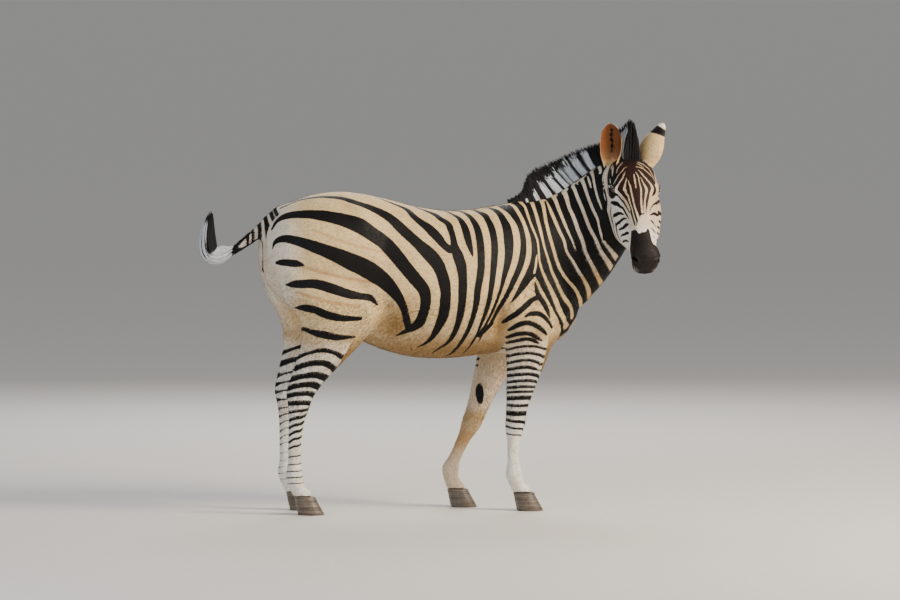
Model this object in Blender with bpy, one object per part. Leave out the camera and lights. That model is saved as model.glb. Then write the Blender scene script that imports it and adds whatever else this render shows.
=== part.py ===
"""A plains zebra at life size, standing on its four hooves with its head turned to its right.

Run with: blender --background --python part.py
Metres, +Z up. The zebra faces +X and its right side faces -Y. The floor is z = 0.
The flesh is lofted whole, fused, smoothed and then parted with thin cuts. Ears, eyes, mane, tail and hooves
are pieces of their own. The sizes below are those of an adult 1.30 m high at the withers.
"""

import math

import bmesh
import bpy
import numpy as np
from mathutils import Matrix, Vector

# ---------------------------------------------------------------- driving sizes

GAP = 0.0004  # left between pieces that touch
MIDDLE = Vector((-0.004, 0.086, 0.0))  # moves the lofts so that the bounding box stands centred on the origin
FUSE_VOXEL = 0.010
SMOOTHING_ROUNDS = 12
TRIANGLES = {"trunk": 1150, "legs": 1200, "head": 1650}  # the facets left to each region of the flesh
HEAD_REGION = (-0.05, -0.19, 0.16)  # beyond these distances along, out of the forehead and across
LEG_REGION = 0.66  # below this height

STANCE_FORE = 0.122  # half the distance between the two fore hooves
STANCE_HIND = 0.118
HOOF_HEIGHT = 0.078
EYE_RADIUS = 0.0215
EAR_LENGTH = 0.180

# The head's own directions: from poll to lips, out of the forehead, and across towards the left ear.
HEAD_POLL = Vector((0.836, -0.131, 1.490))
HEAD_ALONG = Vector((0.007, -0.535, -0.848)).normalized()
HEAD_FRONT = Vector((-0.030, -0.847, 0.530))
HEAD_FRONT = (HEAD_FRONT - HEAD_ALONG * HEAD_FRONT.dot(HEAD_ALONG)).normalized()
HEAD_ACROSS = HEAD_FRONT.cross(HEAD_ALONG).normalized()

# Trunk: x, top, underside, half width, height of the widest level as a share of the depth.
TRUNK = (
    (-0.735, 1.170, 1.030, 0.035, 0.50),
    (-0.715, 1.235, 0.960, 0.110, 0.50),
    (-0.660, 1.290, 0.900, 0.178, 0.52),
    (-0.570, 1.330, 0.850, 0.222, 0.54),
    (-0.480, 1.353, 0.800, 0.242, 0.55),
    (-0.390, 1.360, 0.765, 0.247, 0.55),
    (-0.300, 1.350, 0.722, 0.249, 0.52),
    (-0.200, 1.329, 0.682, 0.256, 0.48),
    (-0.080, 1.297, 0.652, 0.266, 0.46),
    (0.060, 1.276, 0.645, 0.268, 0.45),
    (0.180, 1.280, 0.655, 0.255, 0.45),
    (0.290, 1.297, 0.668, 0.232, 0.44),
    (0.390, 1.300, 0.676, 0.210, 0.42),
    (0.480, 1.240, 0.688, 0.184, 0.42),
    (0.560, 1.120, 0.720, 0.150, 0.46),
    (0.615, 1.000, 0.775, 0.100, 0.50),
    (0.640, 0.930, 0.830, 0.045, 0.50),
)

# Neck: centre, half width, reach towards the crest, reach towards the throat.
NECK = (
    (0.300, 0.000, 1.020, 0.150, 0.240, 0.220),
    (0.420, 0.000, 1.050, 0.160, 0.268, 0.285),
    (0.520, -0.002, 1.085, 0.150, 0.250, 0.270),
    (0.610, -0.010, 1.140, 0.128, 0.222, 0.232),
    (0.690, -0.026, 1.210, 0.108, 0.196, 0.196),
    (0.755, -0.052, 1.285, 0.094, 0.176, 0.168),
    (0.802, -0.092, 1.350, 0.086, 0.156, 0.146),
    (0.828, -0.140, 1.392, 0.080, 0.120, 0.118),
)

# Head: distance from the poll, nose line, jaw line, half width, level of the widest part, squareness.
HEAD = (
    (-0.035, -0.020, -0.090, 0.034, 0.50, 2.0),
    (-0.020, 0.012, -0.112, 0.058, 0.50, 2.0),
    (0.015, 0.045, -0.132, 0.082, 0.52, 2.1),
    (0.060, 0.071, -0.150, 0.100, 0.55, 2.2),
    (0.110, 0.085, -0.162, 0.107, 0.58, 2.2),
    (0.165, 0.090, -0.168, 0.104, 0.58, 2.2),
    (0.215, 0.086, -0.166, 0.104, 0.50, 2.1),
    (0.260, 0.079, -0.158, 0.105, 0.44, 2.0),
    (0.300, 0.072, -0.146, 0.104, 0.39, 1.9),
    (0.340, 0.066, -0.136, 0.097, 0.36, 1.9),
    (0.380, 0.062, -0.115, 0.080, 0.39, 2.0),
    (0.420, 0.060, -0.085, 0.059, 0.47, 2.2),
    (0.456, 0.060, -0.068, 0.056, 0.54, 2.4),
    (0.486, 0.056, -0.066, 0.059, 0.52, 2.5),
    (0.513, 0.043, -0.062, 0.056, 0.50, 2.4),
    (0.533, 0.022, -0.050, 0.044, 0.50, 2.2),
    (0.541, 0.002, -0.036, 0.025, 0.50, 2.0),
)

# Fore leg: place along the chain of joints, shift forward, half depth, half width.
# 0 is the shoulder blade, 1 the elbow, 2 the knee, 3 the fetlock, 4 the coronet.
FORE_LEG = (
    (0.00, 0.000, 0.090, 0.030),
    (0.30, 0.012, 0.140, 0.062),
    (0.60, 0.026, 0.152, 0.082),
    (0.85, 0.020, 0.132, 0.084),
    (1.00, 0.012, 0.112, 0.078),
    (1.18, 0.006, 0.092, 0.066),
    (1.40, 0.003, 0.074, 0.055),
    (1.65, 0.001, 0.057, 0.046),
    (1.85, 0.002, 0.047, 0.041),
    (2.00, 0.003, 0.047, 0.043),
    (2.14, 0.000, 0.041, 0.037),
    (2.30, -0.001, 0.032, 0.027),
    (2.60, -0.001, 0.029, 0.024),
    (2.82, -0.001, 0.032, 0.027),
    (3.00, -0.002, 0.041, 0.035),
    (3.30, 0.000, 0.034, 0.032),
    (3.65, 0.002, 0.034, 0.035),
    (4.00, 0.004, 0.043, 0.042),
    (4.30, 0.006, 0.046, 0.044),
)

# Hind leg: 0 is the hip, 1 the stifle level, 2 the hock, 3 the fetlock, 4 the coronet.
HIND_LEG = (
    (0.00, 0.000, 0.190, 0.060),
    (0.30, 0.000, 0.222, 0.096),
    (0.60, 0.004, 0.216, 0.110),
    (0.85, 0.004, 0.192, 0.106),
    (1.00, 0.000, 0.170, 0.096),
    (1.18, -0.002, 0.136, 0.080),
    (1.40, -0.002, 0.100, 0.062),
    (1.62, -0.006, 0.078, 0.048),
    (1.80, -0.010, 0.066, 0.041),
    (1.92, -0.010, 0.061, 0.040),
    (2.00, -0.004, 0.054, 0.041),
    (2.12, 0.000, 0.044, 0.037),
    (2.30, 0.000, 0.034, 0.029),
    (2.60, -0.001, 0.031, 0.026),
    (2.82, -0.001, 0.033, 0.029),
    (3.00, -0.003, 0.041, 0.036),
    (3.30, 0.000, 0.034, 0.032),
    (3.65, 0.002, 0.034, 0.035),
    (4.00, 0.004, 0.043, 0.042),
    (4.30, 0.006, 0.046, 0.044),
)

# Joints of each leg: shoulder blade or hip, elbow or stifle, knee or hock, fetlock, coronet.
LEGS = {
    "front_right": (
        FORE_LEG,
        (
            (0.405, -0.095, 1.150),
            (0.385, -0.150, 0.730),
            (0.340, -STANCE_FORE, 0.385),
            (0.338, -STANCE_FORE, 0.160),
            (0.366, -STANCE_FORE, HOOF_HEIGHT),
        ),
    ),
    "front_left": (
        FORE_LEG,
        (
            (0.405, 0.095, 1.150),
            (0.345, 0.150, 0.730),
            (0.212, STANCE_FORE, 0.375),
            (0.118, STANCE_FORE, 0.166),
            (0.134, STANCE_FORE, HOOF_HEIGHT),
        ),
    ),
    "hind_right": (
        HIND_LEG,
        (
            (-0.480, -0.110, 1.130),
            (-0.450, -0.150, 0.820),
            (-0.590, -STANCE_HIND, 0.480),
            (-0.612, -STANCE_HIND, 0.165),
            (-0.583, -STANCE_HIND, HOOF_HEIGHT),
        ),
    ),
    "hind_left": (
        HIND_LEG,
        (
            (-0.490, 0.110, 1.130),
            (-0.470, 0.150, 0.820),
            (-0.590, STANCE_HIND, 0.480),
            (-0.598, STANCE_HIND, 0.165),
            (-0.570, STANCE_HIND, HOOF_HEIGHT),
        ),
    ),
}

# Ear: place from root to tip, half width, depth of the cup, half its spread in degrees.
EAR = (
    (0.00, 0.026, 0.027, 128),
    (0.10, 0.033, 0.032, 122),
    (0.24, 0.042, 0.034, 108),
    (0.42, 0.046, 0.032, 98),
    (0.60, 0.044, 0.028, 92),
    (0.77, 0.036, 0.022, 88),
    (0.90, 0.023, 0.015, 86),
    (0.97, 0.012, 0.009, 84),
    (1.00, 0.006, 0.006, 82),
)

# Height of the mane, from the withers (0) to the forelock (1).
MANE_PROFILE = ((0.0, 0.012), (0.08, 0.025), (0.15, 0.050), (0.22, 0.085), (0.30, 0.125), (0.40, 0.140),
                (0.60, 0.125), (0.75, 0.105), (0.85, 0.100), (0.92, 0.140), (1.0, 0.168))

# Tail: centre and radius along the dock, then along the tuft of hair, which flicks up at its end.
DOCK = (
    (-0.600, 0.000, 1.285, 0.034),
    (-0.650, 0.000, 1.272, 0.032),
    (-0.690, 0.000, 1.243, 0.029),
    (-0.733, 0.002, 1.200, 0.027),
    (-0.782, 0.004, 1.160, 0.025),
    (-0.829, 0.006, 1.126, 0.021),
    (-0.872, 0.008, 1.097, 0.017),
    (-0.906, 0.010, 1.076, 0.013),
)
TUFT = (
    (-0.838, 0.006, 1.126, 0.020),
    (-0.876, 0.008, 1.107, 0.030),
    (-0.912, 0.010, 1.090, 0.036),
    (-0.942, 0.012, 1.088, 0.038),
    (-0.960, 0.014, 1.112, 0.040),
    (-0.965, 0.016, 1.155, 0.038),
    (-0.960, 0.018, 1.203, 0.030),
    (-0.950, 0.020, 1.248, 0.019),
    (-0.942, 0.022, 1.282, 0.008),
)

# Forms raised on the flesh (or sunk, where the last number is negative):
# centre, reach in x, y and z, height. Each is made on both sides.
BODY_FORMS = (
    ((0.560, 0.150, 0.900), (0.060, 0.060, 0.070), 0.014),  # point of the shoulder
    ((0.420, 0.170, 1.080), (0.050, 0.080, 0.130), 0.008),  # shoulder blade
    ((0.330, 0.200, 0.800), (0.060, 0.070, 0.080), 0.012),  # triceps over the elbow
    ((0.265, 0.230, 0.850), (0.030, 0.060, 0.110), -0.010),  # hollow behind the shoulder
    ((0.480, 0.190, 0.700), (0.030, 0.060, 0.060), -0.006),  # groove of the chest
    ((-0.330, 0.200, 1.255), (0.055, 0.070, 0.050), 0.010),  # point of the hip
    ((-0.240, 0.260, 1.120), (0.060, 0.090, 0.080), -0.012),  # hollow of the flank
    ((-0.300, 0.230, 0.840), (0.050, 0.060, 0.060), 0.016),  # stifle
    ((-0.665, 0.115, 1.080), (0.055, 0.070, 0.100), 0.020),  # point of the buttock
    ((-0.560, 0.200, 1.000), (0.120, 0.080, 0.120), 0.008),  # thigh
    ((-0.680, 0.000, 1.000), (0.080, 0.022, 0.200), -0.030),  # cleft between the buttocks
    ((0.600, 0.000, 0.820), (0.060, 0.020, 0.100), -0.010),  # furrow of the breast
)

# Forms of the head: along, out of the forehead, across, reach in the same order, height.
HEAD_FORMS = (
    ((0.195, -0.090, 0.090), (0.070, 0.060, 0.050), 0.008),  # cheek muscle
    ((0.145, 0.050, 0.096), (0.032, 0.022, 0.030), 0.007),  # brow over the eye
    ((0.172, 0.030, 0.102), (0.024, 0.018, 0.024), -0.005),  # bed of the eye
    ((0.250, -0.005, 0.085), (0.055, 0.013, 0.030), 0.006),  # ridge of the cheekbone
    ((0.365, -0.060, 0.060), (0.050, 0.030, 0.030), -0.006),  # hollow behind the mouth
    ((0.320, 0.030, 0.060), (0.060, 0.020, 0.030), -0.004),  # side of the nose
    ((0.472, 0.024, 0.050), (0.024, 0.022, 0.020), 0.007),  # wing of the nostril
    ((0.496, 0.014, 0.046), (0.010, 0.015, 0.012), -0.012),  # nostril
    ((0.485, -0.028, 0.058), (0.045, 0.005, 0.026), -0.006),  # line of the mouth
    ((0.500, -0.060, 0.000), (0.024, 0.018, 0.034), 0.006),  # chin
    ((0.110, -0.165, 0.000), (0.090, 0.050, 0.045), -0.020),  # between the jaws
)

# Where the flesh is parted.
# Outlines are x and z, except the head's, which is along and out of the forehead.
HEAD_BLOCK = ((-0.0957, 0.0456), (0.131, -0.151), (0.260, -0.180), (0.580, -0.130), (0.580, 0.160), (-0.110, 0.160))
HEAD_BLOCK_REACH = (-0.118, 0.20)  # across the head
NECK_BLOCK = ((0.345, 1.505), (0.647, 0.770), (1.20, 0.770), (1.20, 1.90), (0.345, 1.90))
KNEE_CUT = 0.395
HOCK_CUT = 0.485

FORE_BLOCK = ((-0.05, -0.1), (-0.05, 0.48), (0.20, 0.62), (0.24, 0.71), (0.30, 0.775), (0.42, 0.80),
              (0.52, 0.76), (0.57, 0.66), (0.57, -0.1))
HIND_BLOCK = ((-0.90, -0.1), (-0.90, 1.02), (-0.70, 1.03), (-0.58, 0.99), (-0.44, 0.91), (-0.33, 0.82),
              (-0.25, 0.74), (-0.215, 0.66), (-0.215, -0.1))
FORE_BLOCK_INNER = 0.045  # how near the fore blocks come to the middle
HIND_BLOCK_INNER = 0.0

COLOURS = {
    "coat": (0.80, 0.72, 0.58),
    "muzzle": (0.035, 0.028, 0.026),
    "ear": (0.72, 0.60, 0.46),
    "mane": (0.05, 0.045, 0.045),
    "tuft": (0.10, 0.10, 0.11),
    "hoof": (0.09, 0.075, 0.065),
    "eye": (0.02, 0.012, 0.010),
}


# ---------------------------------------------------------------- small tools


def material(name, colour, roughness):
    made = bpy.data.materials.new(name)
    made.use_nodes = True
    shader = made.node_tree.nodes["Principled BSDF"]
    shader.inputs["Base Color"].default_value = (*colour, 1.0)
    shader.inputs["Roughness"].default_value = roughness
    return made


def refined(rows, steps):
    """The rows with smooth (Catmull-Rom) rows between them."""
    rows = np.array(rows, float)
    padded = np.vstack([2 * rows[0] - rows[1], rows, 2 * rows[-1] - rows[-2]])
    found = []
    for i in range(len(rows) - 1):
        a, b, c, d = padded[i : i + 4]
        for t in np.arange(steps) / steps:
            found.append(0.5 * (2 * b + (c - a) * t + (2 * a - 5 * b + 4 * c - d) * t**2
                                + (3 * b - a - 3 * c + d) * t**3))
    found.append(rows[-1])
    return np.array(found)


def ring(centre, side, up, half_width, reach_up, reach_down, squareness, count):
    """Points of an egg-shaped, slightly squared section."""
    found = []
    power = 2.0 / squareness
    for k in range(count):
        angle = 2 * math.pi * k / count
        c, s = math.cos(angle), math.sin(angle)
        across = half_width * math.copysign(abs(c) ** power, c)
        rise = (reach_up if s > 0 else reach_down) * math.copysign(abs(s) ** power, s)
        found.append(centre + side * across + up * rise)
    return found


def skin_over(name, rings):
    """A closed mesh object over a row of rings."""
    bm = bmesh.new()
    loops = [[bm.verts.new(p) for p in points] for points in rings]
    for before, after in zip(loops, loops[1:]):
        for k in range(len(before)):
            n = (k + 1) % len(before)
            bm.faces.new((before[k], before[n], after[n], after[k]))
    bm.faces.new(loops[0][::-1])
    bm.faces.new(loops[-1])
    bmesh.ops.recalc_face_normals(bm, faces=bm.faces)
    return from_bmesh(name, bm)


def from_bmesh(name, bm):
    mesh = bpy.data.meshes.new(name)
    bm.to_mesh(mesh)
    bm.free()
    made = bpy.data.objects.new(name, mesh)
    bpy.context.scene.collection.objects.link(made)
    return made


def tube(name, rows, reference, count, steps=3, heading=None):
    """A loft along a path, its sections square to the path or, if one is given, to a fixed heading.
    A row is x, y, z, half width, reach up, reach down and, last, squareness."""
    rows = refined(rows, steps)
    centres = [Vector(r[:3]) for r in rows]
    rings = []
    for i, r in enumerate(rows):
        along = heading or (centres[min(i + 1, len(rows) - 1)] - centres[max(i - 1, 0)]).normalized()
        up = (reference - along * reference.dot(along)).normalized()
        side = along.cross(up).normalized()
        rings.append(ring(centres[i], side, up, max(r[3], 0.004), max(r[4], 0.004), max(r[5], 0.004), r[6], count))
    return skin_over(name, rings)


def evaluated(made):
    """The object's mesh with its modifiers applied; the modifiers are removed."""
    graph = bpy.context.evaluated_depsgraph_get()
    mesh = bpy.data.meshes.new_from_object(made.evaluated_get(graph))
    made.modifiers.clear()
    old, made.data = made.data, mesh
    bpy.data.meshes.remove(old)
    return made


def coordinates(mesh):
    found = np.empty(len(mesh.vertices) * 3)
    mesh.vertices.foreach_get("co", found)
    return found.reshape(-1, 3)


def set_coordinates(mesh, places):
    mesh.vertices.foreach_set("co", np.asarray(places, np.float32).ravel())
    mesh.update()


def normals(mesh):
    found = np.empty(len(mesh.vertices) * 3, np.float32)
    mesh.vertex_normals.foreach_get("vector", found)
    return found.reshape(-1, 3).astype(float)


def relax(mesh, rounds):
    """Smooths without shrinking: a step in, then a slightly longer step out (Taubin's method)."""
    edges = np.empty(len(mesh.edges) * 2, np.int64)
    mesh.edges.foreach_get("vertices", edges)
    a, b = edges.reshape(-1, 2).T
    places = coordinates(mesh)
    count = np.bincount(a, minlength=len(places)) + np.bincount(b, minlength=len(places))
    for _ in range(rounds):
        for pull in (0.60, -0.62):
            total = np.zeros_like(places)
            for axis in range(3):
                total[:, axis] = np.bincount(a, places[b, axis], len(places)) + np.bincount(
                    b, places[a, axis], len(places))
            places += pull * (total / count[:, None] - places)
    set_coordinates(mesh, places)


def raise_form(mesh, local, centre, reach, height):
    """Moves the surface out along its normals round a centre, fading away smoothly."""
    r2 = (((local - np.array(centre)) / np.array(reach)) ** 2).sum(1)
    places = coordinates(mesh) + normals(mesh) * (height * np.exp(-r2))[:, None]
    set_coordinates(mesh, places)


def head_local(places):
    """Coordinates along, out of the forehead and across the head."""
    axes = np.array([HEAD_ALONG, HEAD_FRONT, HEAD_ACROSS])
    return (places - np.array(HEAD_POLL)) @ axes.T


def head_place(along, front, across):
    return HEAD_POLL + HEAD_ALONG * along + HEAD_FRONT * front + HEAD_ACROSS * across


def head_block_place(along, across, front):
    return head_place(along, front, across)


def grown(source, amount):
    """A copy of an object, grown along its normals. It is used as a cutter and then removed."""
    made = source.copy()
    made.data = source.data.copy()
    bpy.context.scene.collection.objects.link(made)
    set_coordinates(made.data, coordinates(made.data) + normals(made.data) * amount)
    return made


def boolean(target, cutter, operation):
    """Applies an exact Boolean and removes the cutter."""
    cut = target.modifiers.new("cut", "BOOLEAN")
    cut.operation = operation
    cut.solver = "EXACT"
    cut.object = cutter
    evaluated(target)
    bpy.data.objects.remove(cutter)
    return target


def copy_of(source, name):
    made = source.copy()
    made.data = source.data.copy()
    made.name = name
    bpy.context.scene.collection.objects.link(made)
    return made


def upright(x, y, z):
    return Vector((x, y, z))


def block(outline, low, high, margin, place=upright):
    """A prism, used as a cutter. Its outline is moved out by the margin; low and high are its two ends."""
    count = len(outline)
    points = [Vector(p) for p in outline]
    turning = sum(points[k - 1].cross(points[k]) for k in range(count))
    corners = []
    for k, point in enumerate(points):
        arriving, leaving = (point - points[k - 1]).normalized(), (points[(k + 1) % count] - point).normalized()
        a = Vector((arriving.y, -arriving.x)) * math.copysign(1, turning)
        b = Vector((leaving.y, -leaving.x)) * math.copysign(1, turning)
        corners.append(point + (a + b) * (margin / (1 + a.dot(b))))
    bm = bmesh.new()
    near = [bm.verts.new(place(p.x, low - margin, p.y)) for p in corners]
    far = [bm.verts.new(place(p.x, high + margin, p.y)) for p in corners]
    for k in range(count):
        n = (k + 1) % count
        bm.faces.new((near[k], near[n], far[n], far[k]))
    bm.faces.new(near[::-1])
    bm.faces.new(far)
    bmesh.ops.recalc_face_normals(bm, faces=bm.faces)
    return from_bmesh("block", bm)


def parted(source, inside_name, outline, low=-1.0, high=1.0, place=upright):
    """Takes what lies inside a block out of an object, as a new object, and leaves the gap between them."""
    inside = copy_of(source, inside_name)
    boolean(inside, block(outline, low, high, -GAP / 2, place), "INTERSECT")
    boolean(source, block(outline, low, high, GAP / 2, place), "DIFFERENCE")
    keep_largest(inside)
    keep_largest(source)
    return inside


def below(height):
    """An outline that holds all that is lower than a height."""
    return ((-2.0, height), (-2.0, -1.0), (2.0, -1.0), (2.0, height))


def keep_largest(made):
    """Drops the slivers that a cut can leave beside the main body."""
    bm = bmesh.new()
    bm.from_mesh(made.data)
    bm.verts.ensure_lookup_table()
    seen, islands = set(), []
    for start in bm.verts:
        if start.index in seen:
            continue
        island, todo = [], [start]
        seen.add(start.index)
        while todo:
            v = todo.pop()
            island.append(v)
            for e in v.link_edges:
                other = e.other_vert(v)
                if other.index not in seen:
                    seen.add(other.index)
                    todo.append(other)
        islands.append(island)
    islands.sort(key=len)
    bmesh.ops.delete(bm, geom=[v for island in islands[:-1] for v in island], context="VERTS")
    bm.to_mesh(made.data)
    bm.free()
    return made


# ---------------------------------------------------------------- the flesh


def trunk_loft():
    rows = []
    for x, top, under, half_width, level in TRUNK:
        centre = under + (top - under) * level
        rows.append((x, 0.0, centre, half_width, top - centre, centre - under, 2.15))
    return tube("trunk_loft", rows, Vector((0, 0, 1)), 40, heading=Vector((1, 0, 0)))


def neck_loft():
    return tube("neck_loft", [(*row, 2.0) for row in NECK], Vector((0, 0, 1)), 32)


def head_loft():
    rows = []
    for along, nose, jaw, half_width, widest, squareness in HEAD:
        level = jaw + (nose - jaw) * widest
        rows.append((*head_place(along, level, 0.0), half_width, nose - level, level - jaw, squareness))
    return tube("head_loft", rows, HEAD_FRONT, 32, steps=4, heading=HEAD_ALONG)


def leg_loft(name, profile, joints):
    chain = refined(joints, 20)
    rows = []
    for place, forward, half_depth, half_width in profile:
        spot = place * 20
        if spot > len(chain) - 1:  # a little beyond the coronet, to be cut off flat
            centre = Vector(chain[-1]) + Vector((0, 0, -0.06)) * (place - 4.0)
        else:
            low = int(spot)
            high = min(low + 1, len(chain) - 1)
            centre = Vector(chain[low]).lerp(Vector(chain[high]), spot - low)
        rows.append((centre.x + forward, centre.y, centre.z, half_width, half_depth, half_depth, 2.0))
    return tube(name, rows, Vector((1, 0, 0)), 28, steps=2)


def fused_flesh():
    """Trunk, neck, head and legs as one smooth closed surface."""
    lofts = [trunk_loft(), neck_loft(), head_loft()]
    lofts += [leg_loft(f"{name}_loft", *LEGS[name]) for name in LEGS]
    bm = bmesh.new()
    for loft in lofts:
        bm.from_mesh(loft.data)
        bpy.data.objects.remove(loft)
    flesh = from_bmesh("flesh", bm)
    fuse = flesh.modifiers.new("fuse", "REMESH")
    fuse.mode = "VOXEL"
    fuse.voxel_size = FUSE_VOXEL
    evaluated(flesh)
    relax(flesh.data, SMOOTHING_ROUNDS)
    for centre, reach, height in BODY_FORMS:
        for side in ((-1, 1) if centre[1] else (1,)):
            raise_form(flesh.data, coordinates(flesh.data), (centre[0], side * centre[1], centre[2]), reach, height)
    for centre, reach, height in HEAD_FORMS:
        for side in ((-1, 1) if centre[2] else (1,)):
            raise_form(flesh.data, head_local(coordinates(flesh.data)), (centre[0], centre[1], side * centre[2]),
                       reach, height)
    relax(flesh.data, 2)
    return flesh


def thinned(flesh):
    """Collapses the fine mesh to few triangles, one region after another, so that each keeps its share."""
    triangulate = flesh.modifiers.new("triangulate", "TRIANGULATE")
    triangulate.quad_method = "SHORTEST_DIAGONAL"
    evaluated(flesh)
    for region, budget in TRIANGLES.items():
        places = coordinates(flesh.data)
        local = head_local(places)
        along, front, across = HEAD_REGION
        head = (local[:, 0] > along) & (local[:, 1] > front) & (np.abs(local[:, 2]) < across)
        legs = ~head & (places[:, 2] < LEG_REGION)
        inside = {"trunk": ~head & ~legs, "legs": legs, "head": head}[region]
        count = len(flesh.data.polygons)
        corners = np.empty(count * 3, np.int64)
        flesh.data.polygons.foreach_get("vertices", corners)
        kept = count - int(inside[corners.reshape(-1, 3)].all(1).sum())
        group = flesh.vertex_groups.new(name=region)
        group.add([int(i) for i in np.nonzero(inside)[0]], 1.0, "REPLACE")
        thin = flesh.modifiers.new("thin", "DECIMATE")
        thin.ratio = (kept + budget) / count
        thin.vertex_group = region
        thin.vertex_group_factor = 1000.0
        thin.use_collapse_triangulate = True
        evaluated(flesh)
        flesh.vertex_groups.clear()
    return flesh


def part_flesh(flesh):
    """Cuts the flesh into trunk, neck, head and eight lengths of leg."""
    flesh.name = "trunk"
    pieces = {"trunk": flesh}
    pieces["head"] = parted(flesh, "head", HEAD_BLOCK, *HEAD_BLOCK_REACH, head_block_place)
    pieces["neck"] = parted(flesh, "neck", NECK_BLOCK)
    for where, outline, inner, joint in (("front", FORE_BLOCK, FORE_BLOCK_INNER, KNEE_CUT),
                                         ("hind", HIND_BLOCK, HIND_BLOCK_INNER, HOCK_CUT)):
        for side, sign in (("right", -1), ("left", 1)):
            name = f"leg_{where}_{side}"
            low, high = sorted((sign * inner, sign * 0.6))
            upper = parted(flesh, f"{name}_upper", outline, low, high)
            foot = parted(upper, "foot", below(HOOF_HEIGHT))
            bpy.data.objects.remove(foot)
            pieces[f"{name}_upper"] = upper
            pieces[f"{name}_lower"] = parted(upper, f"{name}_lower", below(joint))
    return pieces


# ---------------------------------------------------------------- the other pieces


def hoof(name, coronet, forward=0.012):
    """A horn capsule, sloping forward from the coronet to a flat sole."""
    rings = []
    for share in (0.0, 0.08, 0.5, 1.0):
        z = HOOF_HEIGHT * (1 - share) - GAP * (1 - share)
        rise = math.sin(share * math.pi / 2)
        centre = Vector((coronet[0] + 0.006 + (forward + 0.012) * share, coronet[1], z))
        half_depth = 0.044 + 0.020 * share
        half_width = 0.043 + 0.012 * rise
        rings.append(ring(centre, Vector((0, 1, 0)), Vector((1, 0, 0)), half_width, half_depth,
                          half_depth * (1 - 0.18 * share), 2.2, 20))
    return skin_over(name, rings)


def eye(name, side):
    """A ball in the socket at the side of the brow."""
    bm = bmesh.new()
    bmesh.ops.create_icosphere(bm, subdivisions=2, radius=EYE_RADIUS,
                               matrix=Matrix.Translation(head_place(0.168, 0.034, side * 0.0870)))
    return from_bmesh(name, bm)


def ear(name, root, lean, turn):
    """A tall cup with a rounded point. lean is its direction and turn the way its opening faces."""
    along = lean.normalized()
    opening = (turn - along * turn.dot(along)).normalized()
    across = along.cross(opening).normalized()
    rings = []
    for share, width, depth, spread in EAR:
        wall = 0.0045 * (1 - 0.45 * share)
        centre = root + along * (EAR_LENGTH * share) - opening * (0.012 * math.sin(math.pi * share))
        outer, inner = [], []
        for k in range(9):
            angle = -math.pi / 2 + math.radians(spread) * (k / 4 - 1)
            c, s = math.cos(angle), math.sin(angle)
            outer.append(centre + across * (width * c) + opening * (depth * (s + 0.4)))
            inner.append(centre + across * ((width - wall) * c) + opening * ((depth - wall) * s + depth * 0.4))
        rings.append(outer + inner[::-1])
    return skin_over(name, rings)


def mane(neck_pieces):
    """A standing crest of hair along the neck, from the withers to the forelock between the ears."""
    rows = refined(NECK, 2)[2:]
    crest = []
    for i, r in enumerate(rows):
        centre = Vector(r[:3])
        along = (Vector(rows[min(i + 1, len(rows) - 1)][:3]) - Vector(rows[max(i - 1, 0)][:3])).normalized()
        up = (Vector((0, 0, 1)) - along * along.z).normalized()
        crest.append((centre + up * (r[4] - 0.022), up, along))
    forward = HEAD_ACROSS.cross(Vector((0, 0, 1))).normalized()
    for along, front, rise in ((-0.005, 0.010, 0.10), (0.040, 0.040, 0.22)):
        crest.append((head_place(along, front, 0.0), (Vector((0, 0, 1)) + HEAD_FRONT * rise).normalized(), forward))
    rings = []
    for i, (foot, up, along) in enumerate(crest):
        share = i / (len(crest) - 1)
        height = 0.022 + np.interp(share, *zip(*MANE_PROFILE))
        side = along.cross(up).normalized()
        lean = (up + along * 0.15 * (1 - share)).normalized()
        thick = 0.017 + 0.012 * share
        points = []
        for across, rise in ((1, 0), (1.05, 0.35), (0.75, 0.75), (0, 1.0), (-0.75, 0.75), (-1.05, 0.35), (-1, 0)):
            points.append(foot + side * (across * thick) + lean * (rise * height))
        rings.append(points)
    made = skin_over("mane", rings)
    for piece in neck_pieces:
        boolean(made, grown(piece, GAP), "DIFFERENCE")
    return keep_largest(made)


def tail(trunk):
    """The dock, cut to the rump, and the tuft that grows over its end."""
    dock = tube("tail_dock", [(x, y, z, r, r, r, 2.0) for x, y, z, r in DOCK], Vector((0, 0, 1)), 12, steps=1)
    tuft = tube("tail_tuft", [(x, y, z, r, r * 0.8, r * 0.8, 2.0) for x, y, z, r in TUFT], Vector((0, 1, 0)), 12, steps=1)
    boolean(dock, grown(trunk, GAP), "DIFFERENCE")
    keep_largest(dock)
    boolean(tuft, grown(dock, GAP), "DIFFERENCE")
    keep_largest(tuft)
    return dock, tuft


# ---------------------------------------------------------------- the whole animal


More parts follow.
